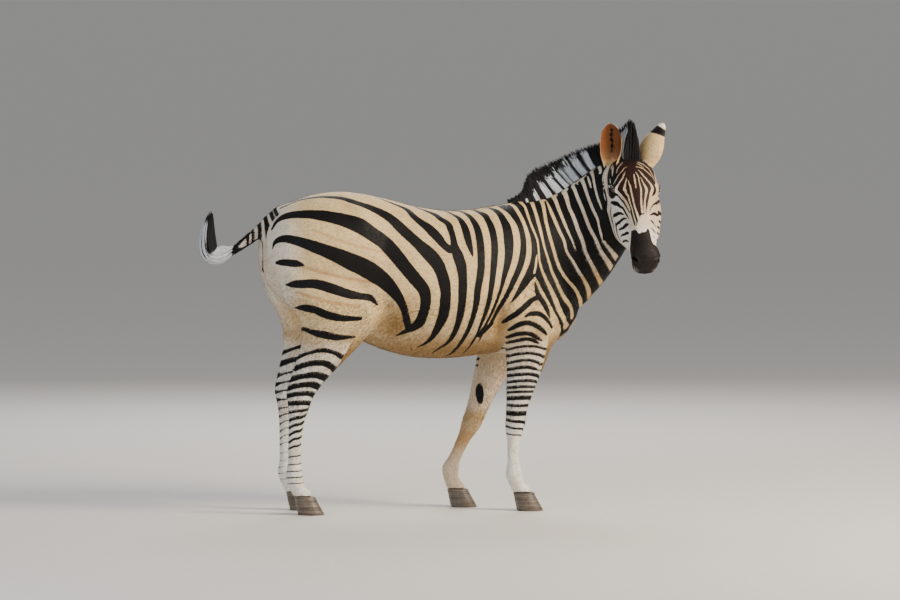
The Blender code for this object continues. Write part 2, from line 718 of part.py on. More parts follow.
def build():
    for old in list(bpy.data.objects):
        bpy.data.objects.remove(old)
    pieces = part_flesh(thinned(fused_flesh()))
    head, trunk, neck = pieces["head"], pieces["trunk"], pieces["neck"]
    for side, sign in (("left", 1), ("right", -1)):
        ball = eye(f"eye_{side}", sign)
        boolean(head, grown(ball, GAP), "DIFFERENCE")
        pieces[ball.name] = ball
    keep_largest(head)
    up = Vector((0, 0, 1))
    ears = {
        "ear_right": (head_place(0.016, 0.004, -0.080), up - HEAD_ACROSS * 0.09 + HEAD_FRONT * 0.50,
                      HEAD_FRONT - HEAD_ACROSS * 0.30),
        "ear_left": (head_place(0.010, -0.002, 0.096), up + HEAD_ACROSS * 0.42, HEAD_ACROSS * 0.55 - HEAD_FRONT),
    }
    for name, (root, lean, turn) in ears.items():
        made = ear(name, root, lean, turn)
        boolean(made, grown(head, GAP), "DIFFERENCE")
        pieces[name] = keep_largest(made)
    made = mane((trunk, neck, head))
    pieces["mane"] = made
    pieces["tail_dock"], pieces["tail_tuft"] = tail(trunk)
    for name in LEGS:
        made = hoof(f"hoof_{name}", LEGS[name][1][4])
        pieces[made.name] = made

    looks = {
        "hoof": material("hoof_horn", COLOURS["hoof"], 0.55),
        "eye": material("eye", COLOURS["eye"], 0.08),
        "ear": material("ear_skin", COLOURS["ear"], 0.8),
        "mane": material("mane_hair", COLOURS["mane"], 0.7),
        "tail_tuft": material("tuft_hair", COLOURS["tuft"], 0.7),
        "coat": material("coat", COLOURS["coat"], 0.75),
    }
    for name, piece in pieces.items():
        piece.name = name
        piece.data.name = name
        kind = next((k for k in looks if name.startswith(k)), "coat")
        piece.data.materials.clear()
        piece.data.materials.append(looks[kind])
        piece.data.transform(Matrix.Translation(MIDDLE))
        piece.data.set_sharp_from_angle(angle=math.radians(50))


build()
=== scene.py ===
import math

import bmesh
import bpy
import numpy as np
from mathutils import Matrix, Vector
from mathutils.bvhtree import BVHTree
from mathutils.kdtree import KDTree


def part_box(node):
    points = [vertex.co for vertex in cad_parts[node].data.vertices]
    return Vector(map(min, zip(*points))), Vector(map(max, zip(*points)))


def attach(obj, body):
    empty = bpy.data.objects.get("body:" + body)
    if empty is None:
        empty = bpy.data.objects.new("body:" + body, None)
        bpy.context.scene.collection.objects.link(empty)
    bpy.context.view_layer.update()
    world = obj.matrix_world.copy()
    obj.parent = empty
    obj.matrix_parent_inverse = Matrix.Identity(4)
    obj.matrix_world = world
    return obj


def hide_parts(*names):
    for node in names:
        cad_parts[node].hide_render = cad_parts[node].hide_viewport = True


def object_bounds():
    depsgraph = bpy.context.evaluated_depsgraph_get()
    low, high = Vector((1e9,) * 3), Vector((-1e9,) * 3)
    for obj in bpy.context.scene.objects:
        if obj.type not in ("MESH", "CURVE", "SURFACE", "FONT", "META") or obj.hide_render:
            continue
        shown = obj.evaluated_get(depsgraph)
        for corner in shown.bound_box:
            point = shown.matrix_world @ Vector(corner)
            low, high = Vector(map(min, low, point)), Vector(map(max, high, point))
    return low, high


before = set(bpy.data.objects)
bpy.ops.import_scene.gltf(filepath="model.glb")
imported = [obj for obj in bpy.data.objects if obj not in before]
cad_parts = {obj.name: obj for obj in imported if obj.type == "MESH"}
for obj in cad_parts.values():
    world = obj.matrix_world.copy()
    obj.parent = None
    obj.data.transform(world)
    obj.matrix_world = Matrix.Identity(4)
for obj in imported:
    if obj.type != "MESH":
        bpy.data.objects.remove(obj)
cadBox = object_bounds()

# places: a body frame (x forward, y left, z up, metres) that hangs on the CAD nodes

trunkLow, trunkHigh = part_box("trunk")
hooves = ("hoof_front_right", "hoof_front_left", "hoof_hind_right", "hoof_hind_left")
hoofMiddle = sum((sum(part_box(h), Vector()) / 2 for h in hooves), Vector()) / 4
home = Vector(((trunkLow.x + trunkHigh.x) / 2 + 0.0507, hoofMiddle.y, 0.0))


def at(x, y, z):
    return home + Vector((x, y, z))


# The head has its own frame: along the face from the poll, out of the forehead, and across to the
# animal's left.
poll = at(0.836, -0.131, 1.490)
headAlong = Vector((0.007, -0.535, -0.848)).normalized()
headFront = Vector((-0.030, -0.847, 0.530))
headFront = (headFront - headAlong * headFront.dot(headAlong)).normalized()
headAcross = headFront.cross(headAlong).normalized()
headAxes = np.array([headAlong, headFront, headAcross])


def headPlace(along, front, across):
    return poll + headAlong * along + headFront * front + headAcross * across


def headLocal(points):
    return (points - np.array(poll)) @ headAxes.T


def headShare(points):
    # 1 where the head's own solid is the nearest, 0 where the neck's is
    trees = []
    for name in ("head", "neck"):
        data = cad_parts[name].data
        trees.append(BVHTree.FromPolygons([v.co for v in data.vertices],
            [f.vertices[:] for f in data.polygons]))
    share = np.zeros(len(points))
    for i in np.where(np.linalg.norm(points - np.array(poll), axis=1) < 0.60)[0]:
        toHead, toNeck = (tree.find_nearest(points[i])[3] for tree in trees)
        share[i] = smoothStep(-0.004, 0.004, toNeck - toHead)
    return share


rng = np.random.default_rng(20)


def smoothStep(low, high, value):
    t = np.clip((value - low) / (high - low), 0.0, 1.0)
    return t * t * (3 - 2 * t)


def curveThrough(points, steps):
    # Catmull-Rom through rows of numbers
    rows = np.array(points, float)
    padded = np.vstack([2 * rows[0] - rows[1], rows, 2 * rows[-1] - rows[-2]])
    out = []
    for i in range(1, len(rows)):
        a, b, c, d = padded[i - 1], padded[i], padded[i + 1], padded[i + 2]
        for k in range(steps):
            t = k / steps
            out.append(0.5 * (2 * b + (c - a) * t + (2 * a - 5 * b + 4 * c - d) * t * t
                              + (3 * b - a - 3 * c + d) * t ** 3))
    out.append(rows[-1])
    return np.array(out)


# camera, floor and light

camera = {
    "azimuth": -13.0, "elevation": 3.0, "distance": 25.0,
    "widthSeen": 3.825,      # metres across the picture at the animal
    "target": (0.0, 0.0, 0.75), "right": 0.085, "up": 0.1437,
}


def makeCamera():
    turn, tip = math.radians(camera["azimuth"]), math.radians(camera["elevation"])
    towards = Vector((math.sin(turn) * math.cos(tip), -math.cos(turn) * math.cos(tip), math.sin(tip)))
    right = Vector((math.cos(turn), math.sin(turn), 0.0))
    up = right.cross(-towards)
    data = bpy.data.cameras.new("camera")
    data.sensor_width = 36.0
    data.lens = 36.0 * camera["distance"] / camera["widthSeen"]
    data.clip_end = 4000.0
    obj = bpy.data.objects.new("camera", data)
    obj.location = (at(*camera["target"]) + right * camera["right"] + up * camera["up"]
                    + towards * camera["distance"])
    obj.rotation_euler = (-towards).to_track_quat("-Z", "Y").to_euler()
    bpy.context.scene.collection.objects.link(obj)
    bpy.context.scene.camera = obj


# materials

def linear(hexColour):
    parts = [int(hexColour[i:i + 2], 16) / 255 for i in (1, 3, 5)]
    return tuple(p / 12.92 if p <= 0.04045 else ((p + 0.055) / 1.055) ** 2.4 for p in parts) + (1.0,)


def newMaterial(name):
    material = bpy.data.materials.new(name)
    material.use_nodes = True
    nodes = material.node_tree.nodes
    nodes.clear()
    output = nodes.new("ShaderNodeOutputMaterial")
    shader = nodes.new("ShaderNodeBsdfPrincipled")
    material.node_tree.links.new(shader.outputs[0], output.inputs[0])
    return material, shader


def node(material, kind, settings=None, **inputs):
    # adds one node; a value that is a socket is linked, any other is set
    made = material.node_tree.nodes.new("ShaderNode" + kind)
    for key, value in (settings or {}).items():
        setattr(made, key, value)
    for key, value in inputs.items():
        byNumber = key[0] == "i" and key[1:].isdigit()
        socket = made.inputs[int(key[1:]) if byNumber else key.replace("_", " ")]
        if isinstance(value, bpy.types.NodeSocket):
            material.node_tree.links.new(value, socket)
        else:
            socket.default_value = value
    return made


def link(material, output, shader, name):
    material.node_tree.links.new(output, shader.inputs[name])


def ramp(material, value, low, high, first=0.0, last=1.0):
    return node(material, "MapRange", {"interpolation_type": "SMOOTHSTEP"}, Value=value, From_Min=low,
        From_Max=high,
                To_Min=first, To_Max=last).outputs[0]


def mix(material, share, first, second):
    made = node(material, "Mix", {"data_type": "RGBA"})
    for socket, value in zip((made.inputs[0], made.inputs[6], made.inputs[7]), (share, first, second)):
        if isinstance(value, bpy.types.NodeSocket):
            material.node_tree.links.new(value, socket)
        else:
            socket.default_value = value
    return made.outputs[2]


def maths(material, operation, first, second=0.0):
    return node(material, "Math", {"operation": operation}, i0=first, i1=second).outputs[0]


# earBacklitGlow is painted light: the orange of sunlight shining through the ear's cup
coatColours = {
    "cream": "#E4C690", "white": "#EFE9DC", "tan": "#9C7A48", "black": "#090707", "brownBlack": "#260F09",
    "muzzle": "#1B1513", "shadow": "#B07C48", "bare": "#17110F", "earBacklitGlow": "#C07A48", "lip": "#77706A",
}


def coatMaterial():
    # short zebra coat: straight hair 6 to 10 mm long, smooth by growth; matt with a faint sheen along it,
    # and hair ends that make every stripe edge finely jagged
    material, shader = newMaterial("shortHairCoat")
    c = {name: linear(value) for name, value in coatColours.items()}
    place = node(material, "TexCoord").outputs["Object"]
    # hair tufts 2 mm across and 14 mm long, drawn twice as coarse so that they show
    bodyHair = node(material, "Mapping", Vector=place, Scale=(70.0, 260.0, 150.0),
        Rotation=(0.0, -0.35, 0.0)).outputs[0]
    legHair = node(material, "Mapping", Vector=place, Scale=(250.0, 250.0, 70.0)).outputs[0]
    body = node(material, "TexNoise", Vector=bodyHair, Scale=1.0, Detail=3.0).outputs[0]
    leg = node(material, "TexNoise", Vector=legHair, Scale=1.0, Detail=3.0).outputs[0]
    attributes = {name: node(material, "Attribute", {"attribute_name": name}).outputs["Fac"]
                  for name in ("stripe", "shadow", "tan", "white", "muzzle", "warm", "bare", "earInner",
                  "lip", "down")}
    hair = maths(material, "ADD", maths(material, "MULTIPLY", body, maths(material, "SUBTRACT", 1.0,
        attributes["down"])),
                 maths(material, "MULTIPLY", leg, attributes["down"]))
    jag = maths(material, "MULTIPLY", maths(material, "SUBTRACT", hair, 0.5), 0.007)
    dark = ramp(material, maths(material, "ADD", attributes["stripe"], jag), -0.0012, 0.0012)
    patchy = node(material, "TexNoise", Vector=place, Scale=14.0, Detail=2.0).outputs[0]
    light = mix(material, attributes["white"], c["cream"], c["white"])
    # tan carries the belly's own tan and painted light: warm sunlight on the throat and the face's left half,
    # shade behind the elbow
    light = mix(material, attributes["tan"], light, c["tan"])
    light = mix(material, maths(material, "MULTIPLY", ramp(material, patchy, 0.45, 0.75), 0.25), light,
        c["shadow"])
    faint = ramp(material, maths(material, "ADD", attributes["shadow"], maths(material, "MULTIPLY", jag,
        1.5)), -0.006, 0.006)
    light = mix(material, maths(material, "MULTIPLY", faint, 0.55), light, c["shadow"])
    # the ear cup's inside takes a painted orange glow of light shining through it
    light = mix(material, attributes["earInner"], light, c["earBacklitGlow"])
    # dark stripes turn brown on the face's left half, where warm sunlight is painted
    deep = mix(material, attributes["warm"], c["black"], c["brownBlack"])
    colour = mix(material, dark, light, deep)
    colour = mix(material, ramp(material, maths(material, "ADD", attributes["muzzle"], jag), -0.002,
        0.002), colour, c["muzzle"])
    colour = mix(material, attributes["lip"], colour, c["lip"])
    colour = mix(material, attributes["bare"], colour, c["bare"])
    fleck = maths(material, "MULTIPLY", ramp(material, hair, 0.30, 0.62, 1.0, 0.0), 0.30)
    colour = mix(material, fleck, colour, c["black"])
    link(material, colour, shader, "Base Color")
    link(material, ramp(material, hair, 0.3, 0.7, 0.72, 0.50), shader, "Roughness")
    shader.inputs["Sheen Weight"].default_value = 0.03
    shader.inputs["Sheen Roughness"].default_value = 0.4
    shader.inputs["IOR"].default_value = 1.5
    shader.inputs["Specular IOR Level"].default_value = 0.20
    bump = node(material, "Bump", Height=hair, Strength=0.35, Distance=0.002).outputs[0]
    link(material, bump, shader, "Normal")
    return material


def longHairMaterial(name, lightColour, darkColour):
    # coarse mane and tail hair: stiff keratin strands about 0.15 mm thick, in clumps, shining along them;
    # a strand is drawn 1 mm wide so that the clumps read
    material, shader = newMaterial(name)
    stripe = node(material, "Attribute", {"attribute_name": "stripe"}).outputs["Fac"]
    around = node(material, "Attribute", {"attribute_name": "strand"}).outputs["Vector"]
    fine = node(material, "TexNoise", Vector=around, Scale=1.0, Detail=2.0).outputs[0]
    edge = maths(material, "MULTIPLY", maths(material, "SUBTRACT", fine, 0.5), 0.008)
    dark = ramp(material, maths(material, "ADD", stripe, edge), -0.002, 0.002)
    colour = mix(material, dark, linear(lightColour), linear(darkColour))
    colour = mix(material, ramp(material, fine, 0.35, 0.6, 0.35, 0.0), colour, linear("#1A1512"))
    link(material, colour, shader, "Base Color")
    link(material, ramp(material, fine, 0.3, 0.7, 0.75, 0.55), shader, "Roughness")
    shader.inputs["Specular IOR Level"].default_value = 0.25
    link(material, node(material, "Bump", Height=fine, Strength=0.5, Distance=0.002).outputs[0], shader,
        "Normal")
    return material


def hornMaterial():
    # hoof horn: dense keratin, dull and a little greasy, with growth rings about 6 mm apart and fine
    # upright tubules
    material, shader = newMaterial("hoofHornKeratin")
    place = node(material, "TexCoord").outputs["Object"]
    rings = node(material, "TexNoise", Vector=node(material, "Mapping", Vector=place,
        Scale=(6.0, 6.0, 160.0)).outputs[0],
                 Scale=1.0, Detail=2.0).outputs[0]
    tubules = node(material, "TexNoise", Vector=node(material, "Mapping", Vector=place,
        Scale=(500.0, 500.0, 25.0)).outputs[0],
                   Scale=1.0, Detail=2.0).outputs[0]
    colour = mix(material, ramp(material, rings, 0.35, 0.65), linear("#3A332D"), linear("#6E6254"))
    colour = mix(material, ramp(material, tubules, 0.4, 0.7, 0.0, 0.35), colour, linear("#8A7B66"))
    link(material, colour, shader, "Base Color")
    link(material, ramp(material, rings, 0.3, 0.7, 0.55, 0.4), shader, "Roughness")
    height = maths(material, "ADD", rings, maths(material, "MULTIPLY", tubules, 0.3))
    link(material, node(material, "Bump", Height=height, Strength=0.4, Distance=0.0015).outputs[0], shader,
        "Normal")
    return material


def eyeMaterial():
    # cornea over a dark brown iris: a wet clear shell that mirrors the lights, with the iris dim behind it
    material, shader = newMaterial("wetCorneaEye")
    across = node(material, "Attribute", {"attribute_name": "pupil"}).outputs["Fac"]
    iris = node(material, "Attribute", {"attribute_name": "iris"}).outputs["Fac"]
    fibre = node(material, "TexNoise", Vector=node(material, "TexCoord").outputs["Object"],
        Scale=900.0).outputs[0]
    brown = mix(material, ramp(material, fibre, 0.3, 0.7), linear("#2A150B"), linear("#4A2A16"))
    colour = mix(material, ramp(material, iris, -0.001, 0.001), linear("#3B2E28"), brown)
    colour = mix(material, ramp(material, across, -0.0006, 0.0006), colour, linear("#060404"))
    link(material, colour, shader, "Base Color")
    link(material, ramp(material, fibre, 0.2, 0.8, 0.10, 0.06), shader, "Roughness")
    shader.inputs["IOR"].default_value = 1.376
    shader.inputs["Coat Weight"].default_value = 1.0
    shader.inputs["Coat Roughness"].default_value = 0.02
    return material


def floorMaterial():
    # plain pale studio floor: matt vinyl
    material, shader = newMaterial("matVinylFloor")
    grain = node(material, "TexNoise", Vector=node(material, "TexCoord").outputs["Object"],
        Scale=30.0).outputs[0]
    link(material, mix(material, ramp(material, grain, 0.3, 0.7), linear("#D9D5CE"), linear("#DDD9D2")),
        shader, "Base Color")
    shader.inputs["Roughness"].default_value = 0.9
    return material


light = {
    "key": ((5.2, -4.2, 4.4), 3.0, 900.0, "#FFEFD9"),    # where, size, watts, colour
    "fill": ((-4.5, -4.5, 2.6), 4.0, 130.0, "#DCE8FF"),
    "back": ((1.0, 5.5, 4.5), 4.0, 260.0, "#FFFFFF"),
    "sky": ("#E6E9EE", 0.48),
}


def makeStage(material):
    mesh = bpy.data.meshes.new("floor")
    reach = 1500.0
    mesh.from_pydata([(-reach, -reach, 0), (reach, -reach, 0), (reach, reach, 0), (-reach, reach, 0)], [],
        [(0, 1, 2, 3)])
    floor = bpy.data.objects.new("floor", mesh)
    mesh.materials.append(material)
    bpy.context.scene.collection.objects.link(floor)
    for name in ("key", "fill", "back"):
        where, size, watts, colour = light[name]
        data = bpy.data.lights.new(name, "AREA")
        data.size, data.energy, data.color = size, watts, linear(colour)[:3]
        lamp = bpy.data.objects.new(name, data)
        lamp.location = at(*where)
        lamp.rotation_euler = (at(0.0, 0.0, 0.8) - lamp.location).to_track_quat("-Z", "Y").to_euler()
        bpy.context.scene.collection.objects.link(lamp)
    world = bpy.data.worlds.new("studio")
    world.use_nodes = True
    world.node_tree.nodes["Background"].inputs[0].default_value = linear(light["sky"][0])
    world.node_tree.nodes["Background"].inputs[1].default_value = light["sky"][1]
    bpy.context.scene.world = world


# mesh helpers

# a field of marks is cut off this far from an edge, in metres
fieldLimit = 0.02


def addObject(name, mesh):
    obj = bpy.data.objects.new(name, mesh)
    bpy.context.scene.collection.objects.link(obj)
    return obj


def places(mesh):
    out = np.empty(len(mesh.vertices) * 3)
    mesh.vertices.foreach_get("co", out)
    return out.reshape(-1, 3)


def setPlaces(mesh, points):
    mesh.vertices.foreach_set("co", points.ravel())
    mesh.update()


def normalsOf(mesh):
    out = np.empty(len(mesh.vertices) * 3, np.float32)
    mesh.vertex_normals.foreach_get("vector", out)
    return out.reshape(-1, 3).astype(float)


def edgesOf(mesh):
    out = np.empty(len(mesh.edges) * 2, np.int32)
    mesh.edges.foreach_get("vertices", out)
    return out.reshape(-1, 2)


def relaxed(mesh, rounds, weight, inward=0.53):
    # smooths without shrinking (a step in, then one out); weight is 0 to 1 for each vertex
    points, edges = places(mesh), edgesOf(mesh)
    count = np.bincount(edges.ravel(), minlength=len(points))[:, None]
    for step in range(rounds * 2):
        total = np.empty_like(points)
        for axis in range(3):
            total[:, axis] = (np.bincount(edges[:, 0], points[edges[:, 1], axis], len(points))
                              + np.bincount(edges[:, 1], points[edges[:, 0], axis], len(points)))
        share = 0.5 if step % 2 == 0 else -inward
        points = points + (total / np.maximum(count, 1) - points) * (share * weight[:, None])
    setPlaces(mesh, points)


def applied(obj, kind, **settings):
    # runs one modifier and keeps its result
    made = obj.modifiers.new(kind, kind)
    for key, value in settings.items():
        setattr(made, key, value)
    graph = bpy.context.evaluated_depsgraph_get()
    mesh = bpy.data.meshes.new_from_object(obj.evaluated_get(graph))
    obj.modifiers.clear()
    old = obj.data
    obj.data = mesh
    bpy.data.meshes.remove(old)
    return obj


def refine(mesh, chosen):
    # halves the faces whose centres chosen() picks
    bm = bmesh.new()
    bm.from_mesh(mesh)
    centres = np.array([f.calc_center_median()[:] for f in bm.faces])
    picked = chosen(centres)
    bm.faces.ensure_lookup_table()
    edges = {e for f, take in zip(bm.faces, picked) if take for e in f.edges}
    bmesh.ops.subdivide_edges(bm, edges=list(edges), cuts=1, use_grid_fill=True)
    bmesh.ops.triangulate(bm, faces=[f for f in bm.faces if len(f.verts) > 4])
    bm.to_mesh(mesh)
    bm.free()


# the skin: the flesh nodes grown together, smoothed and shaped

skin = {
    "voxel": 0.010,
    "coatDepth": 0.0018,     # how far the skin lies inside the solids
    "bodyRounds": 16, "headRounds": 5,
}
fleshNodes = ["trunk", "neck", "head", "tail_dock"] + [
    "leg_%s_%s_%s" % (end, side, part) for end in ("front", "hind") for side in ("left", "right")
    for part in ("upper", "lower")]

# Forms raised on the body (or sunk): centre, reach, height in metres; each is made on both sides.
bodyForms = (
    ((0.575, 0.120, 0.905), (0.050, 0.055, 0.070), 0.010),    # point of the shoulder
    ((0.330, 0.210, 0.830), (0.070, 0.070, 0.075), 0.010),    # triceps
    ((0.250, 0.230, 0.800), (0.022, 0.070, 0.110), -0.012),   # behind the elbow
    ((0.300, 0.150, 0.730), (0.026, 0.050, 0.026), 0.008),    # point of the elbow
    ((0.480, 0.100, 0.720), (0.030, 0.060, 0.060), -0.008),   # groove of the chest
    ((0.440, 0.150, 1.080), (0.030, 0.090, 0.150), -0.006),   # in front of the shoulder blade
    ((0.330, 0.150, 1.220), (0.055, 0.090, 0.060), 0.005),    # top of the shoulder blade
    ((-0.245, 0.260, 0.860), (0.035, 0.090, 0.100), -0.014),  # in front of the stifle
    ((-0.310, 0.220, 0.840), (0.045, 0.070, 0.060), 0.010),   # stifle
    ((-0.640, 0.140, 0.900), (0.040, 0.060, 0.140), 0.008),   # hamstring
    ((-0.560, 0.150, 0.700), (0.024, 0.060, 0.070), -0.006),  # groove of the gaskin
    ((-0.350, 0.180, 1.270), (0.050, 0.070, 0.040), 0.007),   # point of the hip
    ((-0.180, 0.200, 1.180), (0.080, 0.060, 0.050), -0.005),  # hollow of the flank
    ((0.620, 0.080, 1.060), (0.120, 0.050, 0.022), -0.006),   # jugular groove
)
# Forms on the head: along, out, across; reach; height. Each is made on both sides.
headForms = (
    ((0.150, 0.070, 0.080), (0.034, 0.022, 0.022), 0.006),    # brow over the eye
    ((0.175, 0.012, 0.098), (0.022, 0.012, 0.020), -0.0035),  # hollow under the eye
    ((0.120, 0.055, 0.088), (0.024, 0.022, 0.022), -0.006),   # hollow above the eye
    ((0.250, -0.010, 0.100), (0.075, 0.010, 0.024), 0.0045),  # crest of the cheek
    ((0.160, -0.075, 0.100), (0.070, 0.050, 0.030), 0.004),   # cheek muscle
    ((0.330, 0.010, 0.085), (0.050, 0.018, 0.030), -0.004),   # hollow beside the nose
    ((0.360, 0.064, 0.030), (0.080, 0.014, 0.012), 0.003),    # nasal bone edge
    ((0.500, 0.022, 0.052), (0.026, 0.020, 0.016), 0.005),    # wing of the nostril
    ((0.515, -0.052, 0.020), (0.020, 0.014, 0.026), 0.004),   # chin
    ((0.420, -0.050, 0.058), (0.040, 0.014, 0.016), 0.003),   # lips' corner pad
)


def growSkin():
    parts = bmesh.new()
    for name in fleshNodes:
        bm = bmesh.new()
        bm.from_mesh(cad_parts[name].data)
        bmesh.ops.remove_doubles(bm, verts=bm.verts, dist=1e-5)
        bm.normal_update()
        for v in bm.verts:
            v.co += v.normal * 0.0012
        held = bpy.data.meshes.new("held")
        bm.to_mesh(held)
        bm.free()
        parts.from_mesh(held)
        bpy.data.meshes.remove(held)
    mesh = bpy.data.meshes.new("skin")
    parts.to_mesh(mesh)
    parts.free()
    obj = addObject("coat_skin", mesh)
    applied(obj, "REMESH", mode="VOXEL", voxel_size=skin["voxel"])
    local = headLocal(places(obj.data))
    isHead = smoothStep(-0.10, 0.02, local[:, 0]) * smoothStep(-0.22, -0.15, local[:, 1]) * (1
        - smoothStep(0.16, 0.20, np.abs(local[:, 2])))
    relaxed(obj.data, skin["headRounds"], np.ones(len(local)))
    relaxed(obj.data, skin["bodyRounds"] - skin["headRounds"], 1 - isHead)
    applied(obj, "SUBSURF", levels=1, render_levels=1)

    def onHead(c):
        l = headLocal(c)
        return (l[:, 0] > -0.03) & (l[:, 1] > -0.19) & (np.abs(l[:, 2]) < 0.15)
    refine(obj.data, onHead)
    return obj


def raiseForms(points, normals):
    for centre, reach, height in bodyForms:
        for side in (1, -1):
            c = np.array(at(centre[0], centre[1] * side, centre[2]))
            gap = ((points - c) / np.array(reach)) ** 2
            points = points + normals * (height * np.exp(-gap.sum(1)))[:, None]
    local = headLocal(points)
    for centre, reach, height in headForms:
        for side in (1, -1):
            c = np.array((centre[0], centre[1], centre[2] * side))
            gap = ((local - c) / np.array(reach)) ** 2
            points = points + normals * (height * np.exp(-gap.sum(1)))[:, None]
    return points


def distanceToPath(points, path):
    # distance to a broken line, and the share along it
    best = np.full(len(points), 9.0)
    share = np.zeros(len(points))
    low, high = path.min(0) - 0.06, path.max(0) + 0.06
    near = np.where(((points > low) & (points < high)).all(1))[0]
    if len(near) == 0:
        return best, share
    p = points[near]
    gap, where = np.full(len(p), 9.0), np.zeros(len(p))
    for i in range(len(path) - 1):
        a, d = path[i], path[i + 1] - path[i]
        t = np.clip(((p - a) @ d) / max(d @ d, 1e-12), 0, 1)
        g = np.linalg.norm(p - a - t[:, None] * d, axis=1)
        closer = g < gap
        gap[closer], where[closer] = g[closer], i + t[closer]
    best[near], share[near] = gap, where
    return best, share


eyes = {
    "place": (0.168, 0.034, 0.087), "radius": 0.0211,
    "halfLength": 0.0185, "upperLid": 0.0095, "lowerLid": 0.0075, "lidThickness": 0.0028,
}


def eyeFrame(side):
    place = headPlace(eyes["place"][0], eyes["place"][1], eyes["place"][2] * side)
    out = (headAcross * side * 0.90 + headFront * 0.42 + headAlong * 0.05).normalized()
    length = (headAlong + headFront * 0.10)
    length = (length - out * length.dot(out)).normalized()
    rise = out.cross(length) * side
    if rise.dot(headFront) < 0:
        rise = -rise
    return place, out, length, rise


def shapeLids(points):
    # the lids follow the ball at the thickness of skin, and part in an almond opening; the bare rim is
    # returned as well
    rim = np.zeros(len(points))
    for side in (1, -1):
        place, out, length, rise = eyeFrame(side)
        local = (points - np.array(place)) @ np.array([length, rise, out]).T
        flat = np.linalg.norm(local[:, :2], axis=1)
        near = (flat < 0.045) & (local[:, 2] > -0.012) & (local[:, 2] < 0.06)
        l = local[near]
        r = flat[near]
        ball = eyes["radius"] + eyes["lidThickness"]
        cover = np.sqrt(np.maximum(ball ** 2 - r ** 2, 0.0))
        skirt = np.where(r < ball * 0.86, cover, ball * 0.51 - (r - ball * 0.86) * 0.75)
        height = np.maximum(l[:, 2], skirt)
        share = np.clip(l[:, 0] / eyes["halfLength"], -1, 1)
        arch = np.maximum(1 - share ** 2, 0.0)
        upper = eyes["upperLid"] * arch ** 0.6
        lower = -eyes["lowerLid"] * arch ** 0.75
        edge = np.maximum(l[:, 1] - upper, lower - l[:, 1])
        edge = np.where(np.abs(l[:, 0]) > eyes["halfLength"],
            np.hypot(np.abs(l[:, 0]) - eyes["halfLength"], l[:, 1]), edge)
        inside = edge < 0
        crease = 0.0022 * np.exp(-((l[:, 1] - upper - 0.0065) / 0.0018) ** 2) * (np.abs(l[:, 0]) < 0.017)
        crease += 0.0016 * np.exp(-((lower - l[:, 1] - 0.0060) / 0.0018) ** 2) * (np.abs(l[:, 0]) < 0.016)
        height = height - crease
        sunk = np.sqrt(np.maximum((eyes["radius"] - 0.0035) ** 2 - r ** 2, 0.0))
        l[:, 2] = np.where(inside, np.minimum(sunk, height), height)
        local[near] = l
        points[near] = np.array(place) + local[near] @ np.array([length, rise, out])
        rim[near] = np.maximum(rim[near], 1 - smoothStep(0.0030, 0.0065, edge))
    return points, rim


def refineDetails(obj):
    # finer faces where the lids, nostrils and lips are
    marks = [(0.500, 0.012, 0.048, 0.036), (0.500, 0.012, -0.048, 0.036)]
    eyesAt = [eyeFrame(1)[0], eyeFrame(-1)[0]]

    def chosen(c):
        take = np.zeros(len(c), bool)
        for e in eyesAt:
            take |= np.linalg.norm(c - np.array(e), axis=1) < 0.042
        for s, f, w, reach in marks:
            take |= np.linalg.norm(c - np.array(headPlace(s, f, w)), axis=1) < reach
        l = headLocal(c)
        take |= (l[:, 0] > 0.44) & (l[:, 1] < 0.0)
        return take
    refine(obj.data, chosen)


mouth = {
    # from the front of the lips back to the corner: along, out, across
    "line": ((0.541, -0.024, 0.0), (0.538, -0.026, 0.018), (0.524, -0.030, 0.038), (0.500, -0.034, 0.052),
             (0.470, -0.038, 0.057), (0.448, -0.040, 0.057)),
    "depth": 0.0045, "width": 0.0030,
}
nostril = {"place": (0.497, 0.018, 0.046), "reach": (0.019, 0.0085), "depth": 0.016, "rim": 0.0035}


def shapeMuzzle(points, normals):
    dark = np.zeros(len(points))
    for side in (1, -1):
        path = np.array([headPlace(s, f, w * side) for s, f, w in curveThrough(mouth["line"], 4)])
        gap, _ = distanceToPath(points, path)
        points = points - normals * (mouth["depth"] * np.exp(-(gap / mouth["width"]) ** 2))[:, None]
        points = points + normals * (0.0018 * np.exp(-((gap - 0.008) / 0.004) ** 2))[:, None]
        s, f, w = nostril["place"]
        place = np.array(headPlace(s, f, w * side))
        long = (headAlong * 0.75 + headFront * 0.35 - headAcross * side * 0.45).normalized()
        out = (headAcross * side * 0.75 + headFront * 0.35 + headAlong * 0.35).normalized()
        long = (long - out * long.dot(out)).normalized()
        wide = out.cross(long)
        local = (points - place) @ np.array([long, wide, out]).T
        bend = local[:, 1] - 0.004 * (1 - (local[:, 0] / 0.02) ** 2)
        ring = np.sqrt((local[:, 0] / nostril["reach"][0]) ** 2 + (bend / nostril["reach"][1]) ** 2)
        near = np.abs(local[:, 2]) < 0.035
        sink = nostril["depth"] * (1 - smoothStep(0.45, 1.05, ring)) * near
        swell = nostril["rim"] * np.exp(-((ring - 1.35) / 0.30) ** 2) * near
        points = points - np.array(out) * (sink - swell)[:, None]
        dark = np.maximum(dark, (1 - smoothStep(0.7, 1.1, ring)) * near)
    return points, dark


# ears

